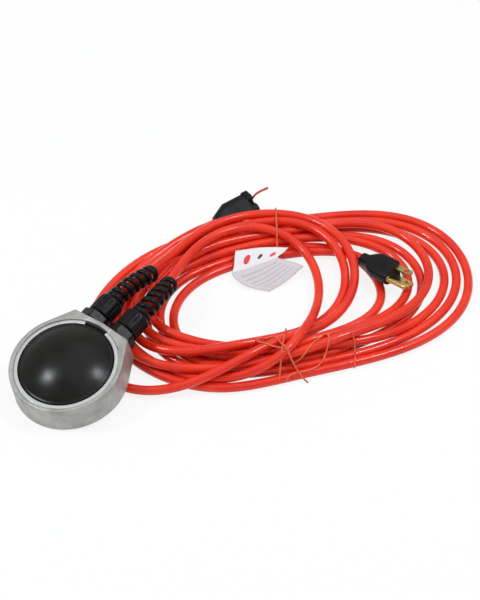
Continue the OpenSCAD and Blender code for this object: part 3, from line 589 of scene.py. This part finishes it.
ringPiece = makeRing()

# ---- button ----
button = {"flange": 43.4, "flangeZ": 20.4, "flangeTop": 22, "neck": 40, "shoulder": (39.95, 24.7),
          "edgeR": 38.2, "sphereR": 67.7, "sphereZ": -31.24, "middle": 0.3, "soft": 0.3, "lip": 3,
          "flangeEdge": 0.4, "steps": 40, "count": 128}


def makeButton():
    # Flange, neck, rounded shoulder, and a crown that is a circle's arc up to the middle
    flange, low, top = button["flange"], button["flangeZ"], button["flangeTop"]
    neck, soft = button["neck"], button["soft"]
    r = np.linspace(button["edgeR"], button["middle"], button["steps"])
    crown = np.stack([r, button["sphereZ"] + np.sqrt(button["sphereR"] ** 2 - r**2)], -1).tolist()
    profile = [(neck - button["lip"], low), (flange - soft, low)]
    profile += fillet((flange, low + soft), (flange, top), (flange - button["flangeEdge"], top))
    profile += [(neck + soft, top)]
    profile += fillet((neck, top + soft), button["shoulder"], crown[0], 8)[:-1] + crown
    grid = turned(profile, button["count"], uprightStation)
    piece = makeMesh("button", gridShell(grid), "button", crease=60)
    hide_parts("button_dome")
    return piece


buttonPiece = makeButton()

# ---- return springs ----
spring = {"foot": 2.0, "seat": 20.4, "wire": 0.45, "radius": 3.6, "turns": 5, "ring": 31.0,
          "angles": (30, 150, 270), "travel": 2.2, "perTurn": 16, "sides": 8}


def makeSprings():
    # A helix round each guide post, from the base plate up to the pressure plate
    s = np.linspace(0, 1, spring["perTurn"] * spring["turns"] + 1)
    a = s * 2 * math.pi * spring["turns"]
    low, high = spring["foot"] + spring["wire"], spring["seat"] - spring["wire"]
    shells = []
    for angle in np.radians(spring["angles"]):
        x = spring["ring"] * math.cos(angle) + spring["radius"] * np.cos(a)
        y = spring["ring"] * math.sin(angle) + spring["radius"] * np.sin(a)
        path = uprightStation(x, y, low + (high - low) * s)
        shells.append(tube(path, spring["wire"], spring["sides"]))
    piece = makeMesh("spring_coils", joinShells(shells))
    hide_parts("return_springs")
    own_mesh(piece)
    return piece


springPiece = makeSprings()

# ---- glands ----
hexagon = {"flats": 24, "sides": 6, "sharp": 60, "chamfer": 0.9, "thread": 9.0, "count": 144,
           "tuck": 1, "threadCount": 48}
nut = {"flutes": 12, "perFlute": 12, "deep": 0.06, "from": 58.4, "to": 72.4, "fade": 1.2, "power": 3}
nutProfile = [(9.4, 57.2), (11.0, 57.25), (11.4, 57.8), (11.5, 58.4), (11.5, 62), (11.5, 66), (11.5, 70),
              (11.4, 72.2), (11.2, 73.2), (10.8, 74.2), (10.2, 74.9), (9.5, 75.4), (8.5, 75.7), (6.4, 75.6)]


def hexShape(p, a):
    # Rounded hexagon: the soft minimum of the distances to its six flats in each direction
    reach = np.maximum(np.cos(a[:, None] - aroundTurn(hexagon["sides"])), 0) ** hexagon["sharp"]
    return np.repeat((reach.sum(1) ** (-1 / hexagon["sharp"]))[None], len(p), 0)


def fluteShape(p, a):
    # Grooves between wide ribs: a power of a cosine round the nut, fading at both ends
    inside = np.minimum(p[:, 1] - nut["from"], nut["to"] - p[:, 1])
    fade = np.clip(inside / nut["fade"] + 0.5, 0, 1)
    groove = (0.5 + 0.5 * np.cos(a * nut["flutes"])) ** nut["power"]
    return 1 - nut["deep"] * fade[:, None] * groove[None]


def makeGland(k):
    side = "ab"[k]
    r, c = hexagon["flats"] / 2, hexagon["chamfer"]
    y0, y1 = gland["hexStart"], gland["hexEnd"]
    inner = hexagon["thread"]
    profile = [(r - c, y0), (r, y0 + c / 2), (r, y1 - c / 2), (r - c, y1), (inner, y1)]
    hexGrid = turned(profile, hexagon["count"], alongGland(k), hexShape)
    neck = [(inner, y1 - hexagon["tuck"]), (inner, gland["nutStart"] + hexagon["tuck"])]
    thread = turned(neck, hexagon["threadCount"], alongGland(k))
    body = makeMesh("gland_hex_" + side, joinShells([gridShell(hexGrid), gridShell(thread)]), crease=40)
    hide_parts("gland_body_" + side)
    fluted = turned(nutProfile, nut["flutes"] * nut["perFlute"], alongGland(k), fluteShape)
    cap = makeMesh("gland_cap_" + side, gridShell(fluted), crease=40)
    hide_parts("gland_nut_" + side)
    return body, cap


glandPieces = [makeGland(k) for k in (0, 1)]


def woundWire(k, u, a, step=0.01):
    # An oval wire wound on a cone: its middle is axis(u) + r(u) (cos a side + sin a up)
    axis, closing = guardAxis(k, u), np.ptp(u) == 0
    t = unit(guardAxis(k, u + step) - guardAxis(k, u - step) if closing else np.gradient(axis, axis=0))
    s = unit(np.cross(t, (0, 0, 1)))
    r = guard["outer"] + (guard["tip"] - guard["outer"]) * u - guard["halfWide"]
    out = np.cos(a)[:, None] * s + np.sin(a)[:, None] * np.cross(t, s)
    middle = axis + r[:, None] * out
    b = aroundTurn(guard["sides"])[None, :, None]
    wide, long = guard["halfWide"] * np.cos(b), guard["halfLong"] * np.sin(b)
    return middle[:, None] + wide * out[:, None] + long * t[:, None]


def makeGuard(k):
    # The winding, and a closed turn of the same wire at each end
    margin, perTurn = guard["halfLong"] / guard["length"], guard["perTurn"]
    n = perTurn * guard["turns"] + 1
    turns = np.arange(n) / perTurn * 2 * math.pi
    shells = [gridShell(woundWire(k, np.linspace(margin, 1 - margin, n), turns))]
    for end in (margin, 1 - margin):
        closed = woundWire(k, np.full(perTurn, end), aroundTurn(perTurn) + 0.1)
        shells.append(gridShell(closed, closeRows=True))
    piece = makeMesh("bend_guard_" + "ab"[k], joinShells(shells))
    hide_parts("spiral_guard_" + "ab"[k])
    return piece


guardPieces = [makeGuard(k) for k in (0, 1)]
print("station dressed")

# ---- plug ----
# Circles (y, z, radius) of the section behind the blades and the pin and of the one at the cord;
# stations: place along the plug's axis, share of the section at the cord
moulding = {"front": ((1.6, 7.9, 3.1), (1.6, -7.9, 3.1), (-11.9, 1.6, 4.2), (-11.9, -1.6, 4.2)),
            "rear": ((-4, 1.5, 5.0), (-4, -1.5, 5.0), (-4.5, 1, 5.0), (-4.5, -1, 5.0)),
            "stations": ((-37, 1.12), (-36.6, 1.02), (-35.8, 0.98), (-32, 0.95), (-29.5, 0.9),
                         (-28.4, 0.72), (-24, 0.36), (-20, 0.12), (-17.5, 0), (-9, 0), (-3, 0),
                         (-0.8, 0), (-0.2, 0.03), (0, 0.1)), "count": 96}
pin = {"radius": 2.4, "length": 20.6, "y": -11.9, "root": 2.9, "rootX": -6, "count": 40, "capSteps": 8}


def plugSection(x, back):
    # Every circle moves and grows from its front state to its rear one, and one outline binds them
    circles = np.array(moulding["rear"]) * back + np.array(moulding["front"]) * (1 - back)
    yz = outline(circles, moulding["count"])
    return np.c_[np.full(len(yz), x), yz]


def makePlug():
    grid = inEnd(plug, np.array([plugSection(x, back) for x, back in moulding["stations"]]))
    piece = makeMesh("plug_moulding", gridShell(grid), crease=30)
    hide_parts("plug_body")
    return piece


plugPiece = makePlug()


def makePin():
    # A round pin: radius at each length along the plug's axis, closing in a half ball
    r, length = pin["radius"], pin["length"]
    a = np.linspace(0, math.pi / 2, pin["capSteps"] + 1)[:-1]
    profile = [(pin["root"], pin["rootX"]), (pin["root"], 0), (r, 0.05), (r, 6), (r, 12), (r, length - r)]
    profile += [(r * math.cos(t), length - r + r * math.sin(t)) for t in a[1:]] + [(0.1, length)]
    grid = turned(profile, pin["count"], lambda u, v, h: inEnd(plug, np.stack([h, pin["y"] + u, v], -1)))
    piece = makeMesh("ground_pin", gridShell(grid), crease=50)
    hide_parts("plug_ground_pin")
    return piece


pinPiece = makePin()

# ---- ties ----
tie = {"radius": 0.75, "sides": 8, "spacing": 1.2, "reach": 0.6, "sag": 0.02, "rounds": 60, "count": 90,
       "loops": {"top": ((77, 176), (4, 268)), "middle": ((104, 152), (148, 76)),
                 "low": ((171, 158), (182, 140))},
       "twist": [(171, 158, 0), (166, 163, 0), (160, 164, 0)]}
# The middle tie's bow, by the places its wires pass over
bow = {
    "crossing": [(107, 114), (113.4, 119.4), (124.2, 115.4), (135.7, 112.2), (148.4, 110.3), (155, 111.5)],
    "largeLoop": [(135.7, 112.2), (141.5, 124), (143, 138), (144.5, 150), (150.5, 147), (155, 134),
                  (152.9, 120.7), (142.9, 106), (141.5, 98.6)],
    "smallLoop": [(106, 113), (103, 109.5), (106, 106.5), (113, 107), (124, 110.5), (135, 112.8),
                  (139, 114.6)],
}
allCords = np.vstack(cordPaths)


def tieLoop(start, end):
    # Outline round every cord that crosses the upright plane from start to end
    start, end = np.array((start, end), float)
    size = np.linalg.norm(end - start)
    ahead = (end - start) / size
    across = np.array((-ahead[1], ahead[0]))
    grow = cordR + tie["radius"]
    circles = []
    for path in cordPaths:
        d = (path[:, :2] - start) @ across
        s = (path[:, :2] - start) @ ahead
        k = np.flatnonzero((d[:-1] * d[1:] <= 0) & (s[:-1] > 0) & (s[:-1] < size))
        circles += [(s[i], path[i, 2], grow) for i in k]
    sz = outline(circles, tie["count"])
    xy = start + sz[:, :1] * ahead
    return np.c_[xy, np.maximum(sz[:, 1], tie["radius"])]


def topOfCords(xy):
    # The highest cord surface over each place, 0 where there is none
    d = np.linalg.norm(xy[:, None] - allCords[None, :, :2], axis=2)
    z = allCords[None, :, 2] + np.sqrt(np.maximum(cordR**2 - d**2, 0))
    return np.where(d < cordR + tie["reach"], z, 0).max(1)


def laidWire(points):
    # A thin wire laid over the cords: it keeps above their tops and bridges the gaps smoothly
    path = smoothPath([(x, y, 0) for x, y in points], tie["spacing"])
    need = topOfCords(path[:, :2]) + tie["radius"]
    z = need.copy()
    for _ in range(tie["rounds"]):
        z[1:-1] = np.maximum(need[1:-1], (z[:-2] + z[2:]) / 2 - tie["sag"])
    path[:, 2] = z
    return path


def makeTies():
    twist = smoothPath(tie["twist"], tie["spacing"])
    twist[:, 2] = topOfCords(twist[:, :2]) + tie["radius"]
    wires = [(tieLoop(*ends), True) for ends in tie["loops"].values()]
    wires += [(laidWire(points), False) for points in bow.values()] + [(twist, False)]
    shells = [tube(path, tie["radius"], tie["sides"], loop) for path, loop in wires]
    piece = makeMesh("wire_tie_loops", joinShells(shells))
    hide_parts("wire_ties")
    return piece


tiePiece = makeTies()

# ---- tag ----
tag = {"thick": 0.25, "rows": 26, "cols": 30, "alongEdge": 0.4, "downSheet": 0.5,
       "edges": [((19, 188, 16), (36, 206, 16.5), (54, 221, 15.5)),
                 ((22.5, 182.5, 14.5), (38, 199, 14.5), (53.5, 215, 13.5)),
                 ((27, 175.5, 10.8), (40.5, 190, 11.6), (52, 207.5, 12.4)),
                 ((32, 167.5, 8.2), (48, 187, 8.8), (59, 210, 11.2)),
                 ((47, 168, 4), (59, 186.5, 5.8), (67.5, 213.5, 10.2)),
                 ((65.5, 177, 1.2), (71.5, 193.5, 4.4), (75.5, 215.5, 9))]}


def makeTag():
    # Each edge is a smooth line across the tag; the sheet runs smoothly down through them
    rows, cols = tag["rows"], tag["cols"]
    lines = np.array([resample(smoothPath(edge, tag["alongEdge"]), cols) for edge in tag["edges"]])
    columns = [resample(smoothPath(lines[:, c], tag["downSheet"]), rows) for c in range(cols)]
    grid = np.array(columns).transpose(1, 0, 2)
    out = unit(np.cross(np.gradient(grid, axis=1), np.gradient(grid, axis=0))) * tag["thick"] / 2
    points = np.vstack([(grid + out).reshape(-1, 3), (grid - out).reshape(-1, 3)])
    # Front, back turned over, and the rim that joins them all round
    place = np.arange(rows * cols).reshape(rows, cols)
    rim = [*place[0], *place[1:, -1], *place[-1, -2::-1], *place[-2:0:-1, 0]]
    faces = gridFaces(rows, cols, False, False)
    faces += [f[::-1] for f in gridFaces(rows, cols, False, False, place.size)]
    faces += [[b, a, a + place.size, b + place.size] for a, b in zip(rim, rim[1:] + rim[:1])]
    piece = makeMesh("folded_tag", (points, faces))
    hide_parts("cord_tag")
    v, u = np.meshgrid(np.linspace(0, 1, rows), np.linspace(0, 1, cols), indexing="ij")
    addUv(piece, "acrossTag", np.tile(np.stack([u.ravel(), v.ravel()], -1), (2, 1)))
    return piece


tagPiece = makeTag()
print("plug, ties and tag made")


cad = bpy.data.objects


# ---- materials: the node helpers, then the looks ----
def nodesOf(name):
    material = bpy.data.materials.new(name)
    material.use_nodes = True
    tree = material.node_tree
    return material, tree, tree.nodes["Principled BSDF"]


def feed(tree, socket, value):
    # A socket takes a number, a colour or what another node gives out
    if isinstance(value, tuple):
        socket.default_value = (*value, 1)
    elif isinstance(value, (int, float)):
        socket.default_value = value
    else:
        tree.links.new(value, socket)


def feedAll(tree, node, values):
    for key, value in values.items():
        feed(tree, node.inputs[key], value)


def addNode(tree, kind, **inputs):
    node = tree.nodes.new("ShaderNode" + kind)
    feedAll(tree, node, inputs)
    return node


def noiseNode(tree, vector, scale, detail=3.0, rough=0.55):
    node = addNode(tree, "TexNoise", Vector=vector, Scale=scale, Detail=detail, Roughness=rough)
    return node.outputs["Fac"]


def rampNode(tree, value, stops):
    # stops: (position, grey or colour)
    node = tree.nodes.new("ShaderNodeValToRGB")
    ramp = node.color_ramp
    while len(ramp.elements) < len(stops):
        ramp.elements.new(0.5)
    for element, (at, colour) in zip(ramp.elements, stops):
        element.position = at
        element.color = (colour,) * 3 + (1,) if isinstance(colour, (int, float)) else (*colour, 1)
    tree.links.new(value, node.inputs["Fac"])
    return node.outputs["Color"]


def mathNode(tree, operation, *values):
    node = tree.nodes.new("ShaderNodeMath")
    node.operation = operation
    feedAll(tree, node, dict(enumerate(values)))
    return node.outputs["Value"]


def product(tree, first, *others):
    for other in others:
        first = mathNode(tree, "MULTIPLY", first, other)
    return first


def linear(tree, x, a, y, b, c):
    # a x + b y + c
    return mathNode(tree, "MULTIPLY_ADD", y, b, mathNode(tree, "MULTIPLY_ADD", x, a, c))


def between(tree, value, low, high):
    # 1 from low to high, 0 outside
    above = mathNode(tree, "GREATER_THAN", value, low)
    return product(tree, above, mathNode(tree, "LESS_THAN", value, high))


def mixColour(tree, factor, a, b, blend="MIX"):
    node = tree.nodes.new("ShaderNodeMix")
    node.data_type, node.blend_type = "RGBA", blend
    feedAll(tree, node, {0: factor, 6: a, 7: b})
    return node.outputs[2]


def objectPlace(tree):
    return tree.nodes.new("ShaderNodeTexCoord").outputs["Object"]


def stationVector(tree):
    # Object coordinates turned and moved so that Z is the station's own axis, in metres
    node = addNode(tree, "Mapping", Vector=objectPlace(tree))
    node.vector_type = "TEXTURE"
    node.inputs["Location"].default_value = (0, lean["y"] * mm, lean["lift"] * mm)
    node.inputs["Rotation"].default_value = (lean["tilt"], 0, 0)
    return node.outputs["Vector"]


def mottled(name, dark, light, rough, spread=0.06, metal=0.0, broad=60, fine=900, bump=0.2,
            deep=0.0002, coat=0.0, coatRough=0.1, specular=0.5):
    # Two tones mixed by a broad noise, roughness spread by a second, fine grain as bump
    material, tree, shader = nodesOf(name)
    where = objectPlace(tree)
    share = rampNode(tree, noiseNode(tree, where, broad), ((0.35, 0.0), (0.65, 1.0)))
    stops = ((0.3, rough - spread), (0.7, rough + spread))
    grain = addNode(tree, "Bump", Height=noiseNode(tree, where, fine, 2.0), Strength=bump, Distance=deep)
    feedAll(tree, shader, {
        "Base Color": mixColour(tree, share, dark, light), "Normal": grain.outputs["Normal"],
        "Roughness": rampNode(tree, noiseNode(tree, where, broad * 3), stops), "Metallic": metal,
        "Coat Weight": coat, "Coat Roughness": coatRough, "Specular IOR Level": specular})
    return material


# Each slot's dark tone, light tone and roughness, then what differs from mottled's own values
looks = {
    "cast_grey": ((0.35, 0.345, 0.32), (0.48, 0.475, 0.445), 0.46,
                  dict(spread=0.08, metal=0.5, broad=45, fine=1500, bump=0.25, deep=0.00012)),
    "bright_ring": ((0.60, 0.61, 0.585), (0.70, 0.71, 0.68), 0.3,
                    dict(metal=0.6, broad=70, fine=1200, bump=0.02, deep=0.0001)),
    "button_rubber": ((0.0050, 0.0048, 0.0038), (0.0095, 0.0090, 0.0072), 0.25,
                      dict(spread=0.03, broad=50, fine=2500, bump=0.02, deep=0.0001, specular=0.25)),
    "black_rubber": ((0.014,) * 3, (0.024,) * 3, 0.55, {}),
    "gland_black": ((0.004, 0.004, 0.005), (0.008, 0.008, 0.009), 0.3,
                    dict(broad=90, fine=1200, bump=0.02, specular=0.18)),
    "plug_black": ((0.005, 0.005, 0.0055), (0.010, 0.010, 0.011), 0.42,
                   dict(broad=80, fine=2200, bump=0.06, specular=0.2)),
    "cord_red": ((0.76, 0.022, 0.008), (0.89, 0.042, 0.012), 0.26,
                 dict(spread=0.05, broad=25, fine=400, bump=0.01, coat=0.4, coatRough=0.06, specular=0.25)),
    "tie_orange": ((0.72, 0.09, 0.035), (0.84, 0.16, 0.06), 0.35, dict(broad=150)),
    "wire_red": ((0.55, 0.03, 0.02), (0.66, 0.05, 0.03), 0.35, dict(broad=150)),
    "brass": ((0.62, 0.46, 0.15), (0.78, 0.62, 0.26), 0.26,
              dict(metal=1.0, broad=160, bump=0.02, deep=0.00003)),
    "steel_screw": ((0.50,) * 3, (0.62,) * 3, 0.3, dict(metal=1.0)),
    "inner_steel": ((0.46, 0.47, 0.49), (0.56, 0.57, 0.59), 0.35, dict(metal=1.0)),
    "spring_steel": ((0.34,) * 3, (0.44,) * 3, 0.3, dict(metal=1.0)),
    "plate": ((0.10,) * 3, (0.17,) * 3, 0.45, {}),
    "switch_plastic": ((0.035, 0.038, 0.042), (0.055, 0.06, 0.065), 0.4, {}),
    "plunger_red": ((0.42, 0.035, 0.03), (0.52, 0.055, 0.04), 0.35, {}),
    "wire_black": ((0.02,) * 3, (0.035,) * 3, 0.35, {}),
    "wire_white": ((0.68, 0.68, 0.66), (0.78, 0.78, 0.76), 0.4, {}),
    "wire_green": ((0.03, 0.22, 0.07), (0.05, 0.3, 0.1), 0.4, {}),
    "cap_ivory": ((0.66, 0.61, 0.47), (0.75, 0.7, 0.55), 0.4, {}),
    "screw_green": ((0.07, 0.27, 0.09), (0.1, 0.35, 0.12), 0.35, dict(metal=0.4)),
}
finishes = {slot: mottled(slot + "_finish", *look[:3], **look[3]) for slot, look in looks.items()}

# Two pale marks and a dark scratch on the casting's top: start, end, width and tone
scribes = (((-0.0140, 0.0420), (-0.0118, 0.0462), 0.0005, (0.82, 0.83, 0.80)),
           ((0.0098, 0.0425), (0.0110, 0.0468), 0.0005, (0.82, 0.83, 0.80)),
           ((0.0245, 0.0358), (0.0290, 0.0345), 0.0004, (0.07, 0.07, 0.065)),
           ((0.0290, 0.0345), (0.0325, 0.0352), 0.0003, (0.10, 0.10, 0.095)))
scribeLevel = 0.0252


def castMetal():
    # The casting's mottled grey gets darker stains, and the scribes where its top is
    tree = finishes["cast_grey"].node_tree
    tone = tree.nodes["Principled BSDF"].inputs["Base Color"]
    where = stationVector(tree)
    stain = rampNode(tree, noiseNode(tree, where, 140, 4.0, 0.7), ((0.42, 1.0), (0.72, 0.82)))
    colour = mixColour(tree, 1.0, tone.links[0].from_socket, stain, "MULTIPLY")
    x, y, z = addNode(tree, "SeparateXYZ", Vector=where).outputs
    onTop = mathNode(tree, "GREATER_THAN", z, scribeLevel)
    for start, end, wide, paint in scribes:
        # ahead runs from 0 to the mark's length, aside is the distance from its line
        dx, dy = unit(np.subtract(end, start)).tolist()
        ahead = linear(tree, x, dx, y, dy, -dx * start[0] - dy * start[1])
        aside = linear(tree, x, -dy, y, dx, dy * start[0] - dx * start[1])
        thin = mathNode(tree, "LESS_THAN", mathNode(tree, "ABSOLUTE", aside), wide / 2)
        mark = product(tree, thin, between(tree, ahead, 0, math.dist(start, end)), onTop)
        colour = mixColour(tree, mark, colour, paint)
    feed(tree, tone, colour)


castMetal()

# Shares of the tag's width and length: three dots (centre, radius, tone) on the strip at its
# folded end, and grey rules on the flap
printed = {"stripEnd": 0.36, "strip": (0.82, 0.81, 0.81), "paper": ((0.60, 0.55, 0.57), (0.70, 0.65, 0.67)),
           "dots": (((0.27, 0.2), 0.085, (0.75, 0.04, 0.05)), ((0.80, 0.2), 0.07, (0.75, 0.06, 0.06)),
                    ((0.54, 0.2), 0.055, (0.10, 0.03, 0.02))),
           "widthToLength": 1.25, "rules": 11, "ruled": ((0.12, 0.88), (0.44, 0.93)),
           "ink": (0.36, 0.33, 0.34), "inkShare": 0.55, "inkFrom": 0.6, "fibres": 300, "rough": 0.5}


def paperTag():
    material, tree, shader = nodesOf("tag_paper_finish")
    where = tree.nodes.new("ShaderNodeUVMap")
    where.uv_map = "acrossTag"
    u, v, _ = addNode(tree, "SeparateXYZ", Vector=where.outputs["UV"]).outputs
    colour = mixColour(tree, noiseNode(tree, objectPlace(tree), printed["fibres"]), *printed["paper"])
    strip = mathNode(tree, "LESS_THAN", v, printed["stripEnd"])
    colour = mixColour(tree, strip, colour, printed["strip"])
    for centre, size, paint in printed["dots"]:
        du = product(tree, mathNode(tree, "SUBTRACT", u, centre[0]), printed["widthToLength"])
        dv = mathNode(tree, "SUBTRACT", v, centre[1])
        square = mathNode(tree, "ADD", product(tree, du, du), product(tree, dv, dv))
        dot = mathNode(tree, "LESS_THAN", mathNode(tree, "SQRT", square), size)
        colour = mixColour(tree, dot, colour, paint)
    wave = mathNode(tree, "SINE", product(tree, v, 2 * math.pi * printed["rules"]))
    line = mathNode(tree, "GREATER_THAN", wave, printed["inkFrom"])
    sides, inside = (between(tree, way, *ends) for way, ends in zip((u, v), printed["ruled"]))
    ruled = product(tree, inside, sides, line, printed["inkShare"])
    inked = mixColour(tree, ruled, colour, printed["ink"])
    feedAll(tree, shader, {"Base Color": inked, "Roughness": printed["rough"]})
    return material


finishes["tag_paper"] = paperTag()


dressed = {"cord_red": [cordOne, cordTwo], "cast_grey": [castingPiece], "spring_steel": [springPiece],
           "button_rubber": [buttonPiece], "plug_black": [plugPiece], "brass": [pinPiece],
           "bright_ring": [ringPiece], "tie_orange": [tiePiece], "tag_paper": [tagPiece],
           "gland_black": [*guardPieces, *glandPieces[0], *glandPieces[1]]}
for slot, pieces in dressed.items():
    for piece in pieces:
        piece.data.materials.clear()
        piece.data.materials.append(finishes[slot])

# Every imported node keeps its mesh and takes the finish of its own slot
slots = {row["node"]: row["material_slot"] for row in frame["record"]["subparts"]}
for name in frame["nodes"]:
    piece, finish = cad[name], finishes[slots[name]]
    if not piece.material_slots:
        piece.data.materials.append(finish)
    for place in piece.material_slots:
        place.material = finish
print("materials made")


# ---- table, light and background ----
# Each lamp: place, size and power; aim and upward point them all
studio = {"half": 4.0, "world": 0.47, "paleFloor": 0.85, "table": (0.93, 0.93, 0.93), "tableRough": 0.6,
          "lamp": (0.89, 0.94, 1.0), "aim": (0.07, 0.13, 0.0), "upward": (0.02, 1, 0),
          "lamps": {"key": ((-0.70, -0.62, 1.25), 0.34, 8.5), "fill": ((0.60, 0.50, 1.35), 0.30, 6.5),
                    "over": ((0.1, 0.5, 1.9), 2.4, 9.0)}}


def whiteRays(tree):
    # 1 for rays from the eye, from gloss and through glass, 0 for the rest
    path = tree.nodes.new("ShaderNodeLightPath").outputs
    seen = mathNode(tree, "MAXIMUM", path["Is Camera Ray"], path["Is Glossy Ray"])
    return mathNode(tree, "MAXIMUM", seen, path["Is Transmission Ray"])


def makeTable():
    h = studio["half"]
    mesh = bpy.data.meshes.new("table")
    mesh.from_pydata([(-h, -h, 0), (h, -h, 0), (h, h, 0), (-h, h, 0)], [], [(0, 1, 2, 3)])
    table = addObject("table", mesh)
    material, tree, shader = nodesOf("white_table")
    feedAll(tree, shader, {"Base Color": studio["table"], "Roughness": studio["tableRough"]})
    # The floor is part white for the eye, so its shadows stay but are pale
    white = addNode(tree, "Emission", Strength=1.0, Color=(1, 1, 1))
    mix = tree.nodes.new("ShaderNodeMixShader")
    share = product(tree, whiteRays(tree), studio["paleFloor"])
    feedAll(tree, mix, {0: share, 1: shader.outputs[0], 2: white.outputs[0]})
    feed(tree, tree.nodes["Material Output"].inputs["Surface"], mix.outputs[0])
    mesh.materials.append(material)


def makeWorld():
    world = bpy.data.worlds.new("studio")
    world.use_nodes = True
    # The eye sees plain white; everything else gets the weaker share
    tree = world.node_tree
    seen = tree.nodes.new("ShaderNodeLightPath").outputs["Is Camera Ray"]
    level = mathNode(tree, "MULTIPLY_ADD", seen, 1 - studio["world"], studio["world"])
    feedAll(tree, tree.nodes["Background"], {"Color": (1, 1, 1), "Strength": level})
    bpy.context.scene.world = world


def makeLamp(name, place, size, power):
    data = bpy.data.lights.new(name, "AREA")
    data.energy, data.color, data.size = power, studio["lamp"], size
    aim(addObject(name, data), place, studio["aim"], studio["upward"])


makeTable()
makeWorld()
for name, lamp in studio["lamps"].items():
    makeLamp(name, *lamp)
bpy.context.scene.view_settings.view_transform = "Standard"
print("table and lights set")
